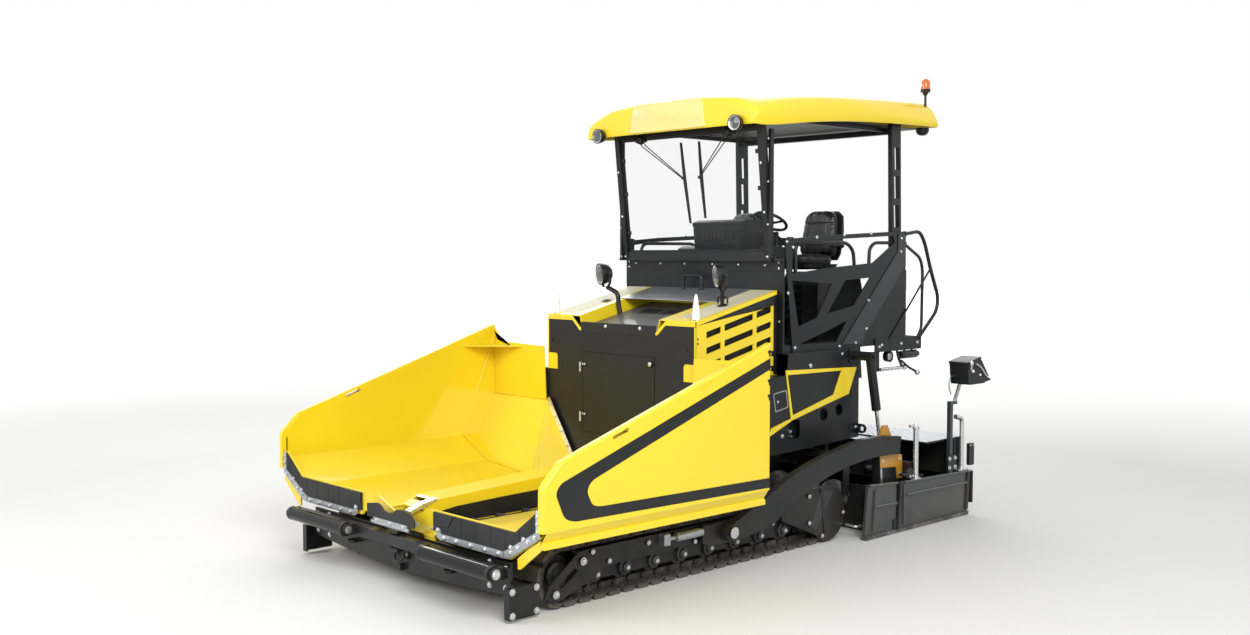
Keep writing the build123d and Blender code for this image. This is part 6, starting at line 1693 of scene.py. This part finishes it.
# %% End gates, spindles and control box
GATE_Y = 1.465
SPINDLE_Y = 1.452
BRACKET_Y = 1.3545
POST = Vector((-3.100, 1.512, 1.232))
ribs = (((-1.792, 0.4552), (-2.195, 0.4322)), ((-1.880, 0.2702), (-2.190, 0.2622)),
        ((-2.330, 0.3152), (-3.275, 0.3002)), ((-2.300, 0.4252), (-3.355, 0.4002)))
spindle = [(0, 0.030), (0.020, 0.030), (0.022, 0.0232), (0.425, 0.0232), (0.430, 0.030), (0.452, 0.030),
           (0.458, 0.021), (0.478, 0.014), (0.480, 0.001)]
ochre_paint = paint("ochre_paint", srgb(196, 140, 22), 0.42, drift=0.2, dust=0.4)
dress(gate_steel, "end_gate_left", "end_gate_right")
for side_name, side in SIDES:
    body = f"extension_{side_name}"
    skid = Form()
    skid.slab("y", 1.4295, 1.4876, [(-1.7442, 0.0038), (-1.759, 0.0326), (-3.306, 0.0326), (-3.2955, 0.0038)])
    skid.done(f"gate_skid_{side_name}", blade_steel, body, side, edge=0.001)
    edges = Form()
    for (x0, z0), (x1, z1) in ribs:
        edge_line = [(x0, z0 - 0.0004), (x1, z1 - 0.0004), (x1, z1 + 0.0014), (x0, z0 + 0.0014)]
        edges.slab("y", GATE_Y + 0.001, GATE_Y + 0.0225, edge_line)
    edges.done(f"rib_edges_{side_name}", zinc_steel, body, side)
    dark = Form()
    dark.slab("y", GATE_Y - 0.001, GATE_Y + 0.018, [(-2.196, 0.036), (-2.222, 0.036), (-2.262, 0.428), (-2.236, 0.430)])
    dark.slab("y", GATE_Y - 0.001, GATE_Y + 0.010, rect(-2.205, 0.04, -2.150, 0.12))
    dark.slab("y", GATE_Y - 0.001, GATE_Y + 0.014, [(-3.262, 0.050), (-3.305, 0.050), (-3.338, 0.385), (-3.292, 0.385)])
    dark.slab("x", -3.372, -3.352, rect(1.436, 0.10, 1.486, 0.39, 0.01))
    dark.slab(
        "y", 1.445, 1.4595,
        rounded([(-2.36, 0.44), (-2.46, 0.44), (-2.46, 0.50), (-2.42, 0.53), (-2.36, 0.50)], 0.01),
    )
    dark.bar([(-2.34, 1.40, 0.47), (-2.34, SPINDLE_Y, 0.47), (-2.38, SPINDLE_Y, 0.47)], 0.014, 12, 0.02)
    dark.slab("y", 1.4745, 1.4805, rect(-2.965, 0.432, -3.095, 0.570, 0.01))
    dark.slab("y", 1.436, 1.468, rect(-3.335, 0.440, -3.415, 0.640, 0.012))
    dark.done(f"gate_fittings_{side_name}", black_plastic, body, side, slot="charcoal_paint", edge=0.002)
    screws = Form()
    screws.bolts([(x, 1.4805, z) for x in (-2.985, -3.075) for z in (0.462, 0.542)], LEFT, 0.013)
    screws.bolts([(x, 1.468, 0.622) for x in (-3.352, -3.398)], LEFT, 0.006)
    screws.bolts([(x, 1.4655, z) for x, z in ((-2.40, 0.455), (-2.44, 0.455))], LEFT, 0.009)
    screws.slab("z", 0.4155, 0.4245, rect(-2.448, 1.425, -2.552, 1.482, 0.01))
    screws.slab("z", 0.4145, 0.4225, rect(-3.145, 1.422, -3.305, 1.486, 0.01))
    screws.bolts([(x, y, 0.4235) for x in (-2.466, -2.534) for y in (1.438, 1.470)], UP, 0.007)
    screws.bolts([(x, y, 0.4215) for x in (-3.165, -3.285) for y in (1.434, 1.474)], UP, 0.008)
    screws.turn((-2.500, SPINDLE_Y, 0.424), UP, spindle, 28)
    screws.bar(
        [(x, SPINDLE_Y, z) for x, z in ((-3.225, 0.420), (-3.225, 0.886), (-3.120, 0.905))], 0.0205, 18, 0.045, 6,
    )
    screws.turn((-3.225, SPINDLE_Y, 0.422), UP, [(0, 0.030), (0.018, 0.030), (0.020, 0.021)], 24)
    screws.bar([(-2.520, SPINDLE_Y, 0.875), (-2.405, SPINDLE_Y, 0.885)], 0.012, 14)
    screws.done(f"gate_spindles_{side_name}", bolt_zinc, body, side)
    stand = Form()
    stand.bar([(-3.035, SPINDLE_Y, 1.030), (POST.x, SPINDLE_Y, 1.042), POST], 0.017, 14, 0.03)
    hook = ((-3.000, 1.28), (-2.945, 1.28), (-2.930, 1.18), (-2.965, 1.12))
    stand.bar([(x, 1.50, z) for x, z in hook], 0.006, 10, 0.03)
    stand.turn((-3.100, 1.505, 1.205), (0, 0.31, 0.95), [(0, 0.026), (0.02, 0.026), (0.03, 0.018)], 18)
    stand.done(f"post_elbow_{side_name}", zinc_steel, body, side, edge=0.001)
    box = Form()
    head_line = rounded([(-3.006, 1.211), (-2.976, 1.403), (-3.191, 1.4435), (-3.334, 1.270), (-3.262, 1.211)], 0.014)
    box.rings([[(x, y, z) for x, z in head_line] for y in (1.4705, 1.4800, 1.6440, 1.6535)])
    box.slab("y", 1.4655, 1.6585, rounded([(-2.972, 1.394), (-2.970, 1.411), (-3.193, 1.452), (-3.202, 1.440)], 0.006))
    box.slab("y", 1.49, 1.64, rounded([(-3.335, 1.262), (-3.385, 1.240), (-3.385, 1.228), (-3.262, 1.215)], 0.006))
    box.done(f"control_box_{side_name}", black_plastic, body, side, edge=0.003)
    knobs = Form()
    fall = Vector((-(1.4435 - 1.270), 0, 3.334 - 3.191)).normalized()
    for k in range(3):
        for m in range(2):
            foot = Vector((-3.225 - 0.042 * m, 1.515 + 0.045 * k, 1.403 - 0.051 * m))
            knobs.turn(
                foot, fall, [(-0.004, 0.012), (0.010, 0.012), (0.014, 0.008), (0.024, 0.006), (0.025, 0.001)], 12,
            )
    knobs.turn((-3.06, 1.6545, 1.33), LEFT, [(0, 0.014), (0.012, 0.013), (0.016, 0.006), (0.017, 0.001)], 16)
    knobs.turn((-3.18, 1.6545, 1.29), LEFT, [(0, 0.010), (0.010, 0.010), (0.012, 0.001)], 16)
    knobs.done(f"control_knobs_{side_name}", white_cap, body, side)
    patch = Form()
    patch_line = ((-3.000, 1.50, 1.4065), (-3.075, 1.50, 1.4202), (-3.075, 1.625, 1.4202), (-3.000, 1.625, 1.4065))
    patch.rings([[(x, y, z + lift) for x, y, z in patch_line] for lift in (-0.001, 0.0055)])
    patch.done(f"control_patch_{side_name}", amber_lens, body, side)
    ochre = Form()
    ochre.slab(
        "y", BRACKET_Y - 0.004, BRACKET_Y,
        [
            (-2.116, 0.646), (-2.330, 0.646), (-2.438, 0.626), (-2.448, 0.425), (-2.365, 0.425), (-2.352, 0.530),
            (-2.122, 0.545),
        ],
    )
    ochre.slab(
        "y", 1.318, 1.348,
        [(-2.118, 0.640), (-2.124, 0.795), (-2.180, 0.900), (-2.232, 0.902), (-2.300, 0.785), (-2.300, 0.640)],
    )
    ochre.done(f"ochre_bracket_{side_name}", ochre_paint, "screed", side, edge=0.002)
    bits = Form()
    bits.slab("y", 1.3515, 1.3585, [(-2.118, 0.540), (-2.140, 0.540), (-2.148, 0.420), (-2.126, 0.420)])
    bits.bolts([(x, BRACKET_Y, z) for x, z in ((-2.16, 0.600), (-2.40, 0.590), (-2.41, 0.470))], LEFT, 0.011)
    bits.bar([(-1.72, 1.30, 0.115), (-1.72, 1.40, 0.110), (-2.14, 1.40, 0.100)], 0.009, 10, 0.02)
    bits.slab("y", 1.396, 1.404, [(-1.99, 0.10), (-2.012, 0.10), (-2.02, 0.30), (-1.998, 0.30)])
    bits.done(f"screed_bits_{side_name}", bolt_zinc, "screed", side)
print("gates, spindles and control boxes placed")

# %% [markdown]
# The rear of each extension is a hinged cover over its heating rods, with two pull handles, and below it
# a folding foot board of checker plate runs along the sole. The control boxes get a sun hood, a
# joystick and a bracket with a thumb screw.

# %% Rear covers, foot boards and control fittings
REAR_X = -3.280
BOARD_X = REAR_X - 0.105  # rear edge of the foot board
for side_name, side in SIDES:
    body = f"extension_{side_name}"
    covers = Form()
    for low, high in ((0.055, 0.700), (0.740, 1.395)):
        covers.slab("x", REAR_X - 0.0065, REAR_X + 0.001, rect(low, 0.430, high, 0.690, 0.012))
        for y in (low + 0.10, high - 0.10):
            covers.turn((REAR_X - 0.010, y - 0.035, 0.694), LEFT, [(0, 0.009), (0.070, 0.009)], 14)
    for y in (0.16, 0.72, 1.28):
        covers.slab(
            "y", y - 0.004, y + 0.004,
            [(REAR_X + 0.001, 0.130), (REAR_X + 0.001, 0.300), (BOARD_X, 0.212), (BOARD_X, 0.200)],
        )
    covers.slab("x", BOARD_X - 0.006, BOARD_X, rect(0.060, 0.196, 1.380, 0.226, 0.008))
    covers.slab("x", REAR_X - 0.008, REAR_X + 0.001, rect(0.030, 0.360, 1.420, 0.374))
    covers.done(f"rear_covers_{side_name}", gate_steel, body, side, edge=0.002)
    checker(f"foot_board_{side_name}", zinc_steel, body, side, BOARD_X, REAR_X - 0.004, 0.062, 1.378, 0.2145, 0.032)
    pulls = Form()
    for middle in (0.378, 1.068):
        pull_line = ((-0.005, -0.075), (-0.045, -0.075), (-0.045, 0.075), (-0.005, 0.075))
        pulls.bar([(REAR_X + behind, middle + aside, 0.50) for behind, aside in pull_line], 0.0075, 12, 0.02)
        for y in (middle - 0.22, middle + 0.22):
            pulls.turn(
                (REAR_X - 0.0065, y, 0.470), BACK,
                [(0, 0.020), (0.005, 0.019), (0.007, 0.010), (0.013, 0.009), (0.014, 0.001)], 20,
            )
    pulls.bolts([(REAR_X - 0.001, y, 0.100) for y in (0.10, 0.42, 0.74, 1.06, 1.36)], BACK, 0.012)
    pulls.done(f"rear_pulls_{side_name}", bolt_zinc, body, side)
    extras = Form()
    extras.bar([(-3.020, 1.665, 1.345), (-3.010, 1.672, 1.385)], 0.008, 12)
    extras.turn(
        (-3.012, 1.671, 1.380), (0.2, 0.15, 1),
        [(0, 0.010), (0.012, 0.018), (0.032, 0.019), (0.044, 0.010), (0.045, 0.001)], 18,
    )
    extras.bar(
        [(-3.10, 1.664, 1.395), (-3.17, 1.672, 1.360), (-3.24, 1.672, 1.295), (-3.30, 1.664, 1.262)], 0.006, 10,
        0.02,
    )
    extras.turn(
        (-3.045, 1.4700, 1.30), RIGHT, [(0, 0.022), (0.012, 0.022), (0.014, 0.010), (0.03, 0.010), (0.031, 0.001)],
        18,
    )
    extras.slab(
        "y", 1.498, 1.640, rounded([(-3.330, 1.2555), (-3.390, 1.238), (-3.390, 1.231), (-3.330, 1.247)], 0.002),
    )
    extras.done(f"control_fittings_{side_name}", bolt_zinc, body, side)
print("rear covers and foot boards placed")

# %% [markdown]
# ## Flanks of the body and the stand
#
# The ports in the body look into a dark bay, its darkness painted as shade by a black sheet behind them,
# with a few bright fittings. The stand's side is bolted together from plates: a lighter brace runs up it,
# and under the landing hang lamp, tubes and a lever.

# %% Painted shade behind the ports, hatch, brace and bolts
BODY_Y = 1.000
STAND_Y = 0.950
STAND_FRONT = -1.325
# The dark bay behind the ports is painted shade: a black sheet stands where there is only shadow.
port_shade = Form()
port_shade.slab("y", 0.930, 0.934, [(-1.20, 0.74), (-2.20, 0.80), (-2.20, 1.34), (-1.20, 1.34)])
port_shade.slab("y", 0.930, 0.934, [(-1.02, 0.86), (-1.20, 0.80), (-1.20, 1.34), (-1.02, 1.34)])
port_shade.mirror().done("port_painted_shade", black_plastic)
hatch = Form()
outer = rounded([(-1.130, 1.226), (-1.296, 1.246), (-1.324, 1.098), (-1.158, 1.070)], 0.012)
inner = rounded([(-1.139, 1.218), (-1.287, 1.236), (-1.314, 1.105), (-1.166, 1.080)], 0.010)
hatch.slab("y", BODY_Y - 0.001, BODY_Y + 0.0035, outer, inner)
hatch.mirror().done("hatch_frame", zinc_steel)
band = Form()
band_outer = [
    (-1.284, 1.406), (-2.246, 1.376), (-2.136, 1.149), (-1.371, 0.988), (-1.070, 0.875), (-1.108, 0.946),
    (-1.354, 1.003),
]
band_inner = [(-1.306, 1.366), (-2.034, 1.358), (-1.924, 1.158), (-1.377, 1.028)]
band.slab("y", BODY_Y - 0.001, BODY_Y + 0.0095, band_outer, rounded(band_inner, 0.006))
shown_band = band.mirror().done("slanting_band", yellow_paint, edge=0.0015)
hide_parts("side_frames")
facets = Form()
facets.slab("y", 1.289, 1.2945, rounded([(-1.385, 0.437), (-1.560, 0.420), (-1.333, 0.120), (-1.262, 0.160)], 0.01))
facets.mirror().done("sprocket_facets", brace_grey, edge=0.003)
seam = Form()
seam.slab("y", BODY_Y - 0.0005, BODY_Y + 0.0012, rect(-2.158, 0.80, -2.164, 1.372))
seam.slab("y", BODY_Y - 0.0005, BODY_Y + 0.0045, rect(-2.176, 1.10, -2.196, 1.50))
seam.mirror().done("body_seams", black_plastic)
body_bolts = Form()
body_bolts.bolts([(x, BODY_Y, z) for x, z in ((-1.613, 1.425), (-2.254, 0.848), (-1.250, 0.865))], LEFT, 0.013)
body_bolts.bolt((-1.191, BODY_Y + 0.001, 1.154), LEFT, 0.008)
body_bolts.bolt((-2.052, BODY_Y - 0.002, 1.500), LEFT, 0.010)
for x, z, size in ((-1.384, 0.888, 0.022), (-1.40, 0.845, 0.012), (-1.77, 0.952, 0.014), (-1.968, 0.984, 0.020)):
    fitting_line = [(0, size), (0.02, size), (0.03, size * 0.7), (0.045, size * 0.6), (0.046, 0.001)]
    body_bolts.turn((x, 0.936, z), LEFT, fitting_line, 18)
STAND_BOLTS = (
    (-1.355, 2.460), (-1.750, 2.500), (-2.132, 2.524), (-2.519, 2.540), (-1.376, 2.037), (-2.489, 1.947),
    (-2.077, 1.560), (-1.469, 1.580),
)
body_bolts.bolts([(x, STAND_Y, z) for x, z in STAND_BOLTS], LEFT, 0.010)
BRACE_BOLTS = ((-2.985, 2.500), (-2.975, 2.380), (-2.460, 1.700), (-2.300, 1.580))
body_bolts.bolts([(x, STAND_Y + 0.0055, z) for x, z in BRACE_BOLTS], LEFT, 0.009)
body_bolts.bolts([(-1.205, 0.8755, z) for z in (2.336, 2.60, 2.95, 3.30)], LEFT, 0.008)
body_bolts.bolts([(x, STAND_Y, 1.540) for x in (-2.70, -3.00, -3.26)], LEFT, 0.010)
body_bolts.mirror()
FRONT_BOLTS = ((-0.804, 2.277), (-0.487, 2.274), (-0.183, 2.274), (0.15, 2.272), (0.45, 2.270), (0.746, 2.265))
body_bolts.bolts([(STAND_FRONT, y, z) for y, z in FRONT_BOLTS], AHEAD, 0.009)
body_bolts.bolts([(STAND_FRONT, y, z) for y in (-0.895, 0.895) for z in (2.290, 2.240, 1.80)], AHEAD, 0.009)
body_bolts.bolts(
    [(-1.230 + 0.115 * (z - 2.32), s * 0.848, z) for s in (-1, 1) for z in (2.335, 2.70, 3.10)], (1, 0, -0.11),
    0.008,
)
body_bolts.done("body_bolts", bolt_zinc)
brace = Form()
brace.slab(
    "y", STAND_Y + 0.005, STAND_Y + 0.0075,
    [
        (-2.100, 1.572), (-2.388, 1.572), (-2.448, 1.660), (-3.043, 2.250), (-3.040, 2.544), (-2.932, 2.544),
        (-2.929, 2.386),
    ],
)
brace.mirror().done("stand_brace", brace_grey, edge=0.001)
pieces = Form()
pieces.slab("y", STAND_Y - 0.001, STAND_Y + 0.004, rect(-1.350, 2.430, -1.440, 2.500, 0.01))
pieces.slab("x", -1.3255, -1.3205, rect(-0.930, 2.215, 0.930, 2.305, 0.008))
pieces.box(-1.246, -1.205, 0.874, 0.899, 2.300, 3.380)
pieces.mirror().done("stand_plates", charcoal_paint, edge=0.002)

# %% [markdown]
# Under the landing hang a round lamp, a canister, two bent tubes and a lever with a ball grip, on a
# cross tube and a bracket. Tubes are swept along a rounded path, and the other parts are turned.

# %% Lamp, canister, tubes and lever under the landing
under = Form()
lamp_line = [(-0.05, 0.030), (-0.04, 0.048), (0.010, 0.052), (0.014, 0.046), (0.006, 0.040), (0.006, 0.001)]
can_line = [(0, 0.001), (0, 0.034), (0.02, 0.038), (0.25, 0.038), (0.262, 0.030), (0.285, 0.026), (0.286, 0.001)]
under.turn((-2.880, 0.905, 1.425), LEFT, lamp_line, 28)
under.bar([(-2.880, 0.900, 1.440), (-2.880, 0.900, 1.480)], 0.015, 12)
under.turn((-3.030, 0.915, 1.432), BACK, can_line, 24)
for x in (-3.10, -3.22):
    under.bar([(x, 0.915, 1.46), (x, 0.915, 1.482)], 0.012, 10)
under.bar(
    [(-2.925, 0.955, 1.480), (-2.945, 0.955, 1.420), (-2.985, 0.955, 1.360), (-3.040, 0.945, 1.312)], 0.012, 12,
    0.03,
)
under.bar([(-2.990, 0.960, 1.385), (-3.110, 0.960, 1.315), (-3.235, 0.960, 1.268)], 0.011, 12, 0.03)
under.slab("y", 0.890, 0.925, rect(-2.620, 1.30, -2.700, 1.480, 0.01))
under.bar([(-2.66, 0.0, 1.45), (-2.66, 0.89, 1.45)], 0.018, 12)
under.slab("x", -3.330, -3.322, rect(-0.94, 1.482, 0.94, 1.594, 0.01))
under.done("landing_tubes", black_plastic, edge=0.001)
lever = Form()
lever_line = [
    (0, 0.001), (0, 0.014), (0.01, 0.017), (0.34, 0.017), (0.36, 0.024), (0.39, 0.024), (0.40, 0.012), (0.41, 0.001),
]
grip_line = [(0, 0.012), (0.008, 0.022), (0.026, 0.029), (0.044, 0.022), (0.053, 0.001)]
lever.turn((-2.690, 0.940, 1.318), BACK, lever_line, 20)
lever.turn((-3.225, 0.960, 1.272), (-0.94, 0, -0.34), grip_line, 20)
lever.turn((-2.880, 0.9085, 1.425), LEFT, [(0, 0.041), (0.004, 0.030), (0.006, 0.001)], 24)
lever.bolt((-2.66, 0.951, 1.525), LEFT, 0.010)
lever.done("landing_lever", bolt_zinc)
for side_name, side in SIDES:
    pins = Form()
    pin_line = [(0, 0.044), (0.006, 0.043), (0.008, 0.026), (0.012, 0.024), (0.013, 0.001)]
    pins.turn((-0.190, 1.428, 0.300), LEFT, pin_line, 24)
    pins.done(f"tow_pin_cap_{side_name}", bolt_zinc, "chassis", side)
arm_slots = Form()
arm_slots.slab("y", 1.409, 1.4112, oblong(-1.316, 0.705, 0.056, 0.020, 0.0095, -0.28))
arm_slots.mirror().done("arm_slots", black_plastic, "screed")
print("flanks and landing detailed")
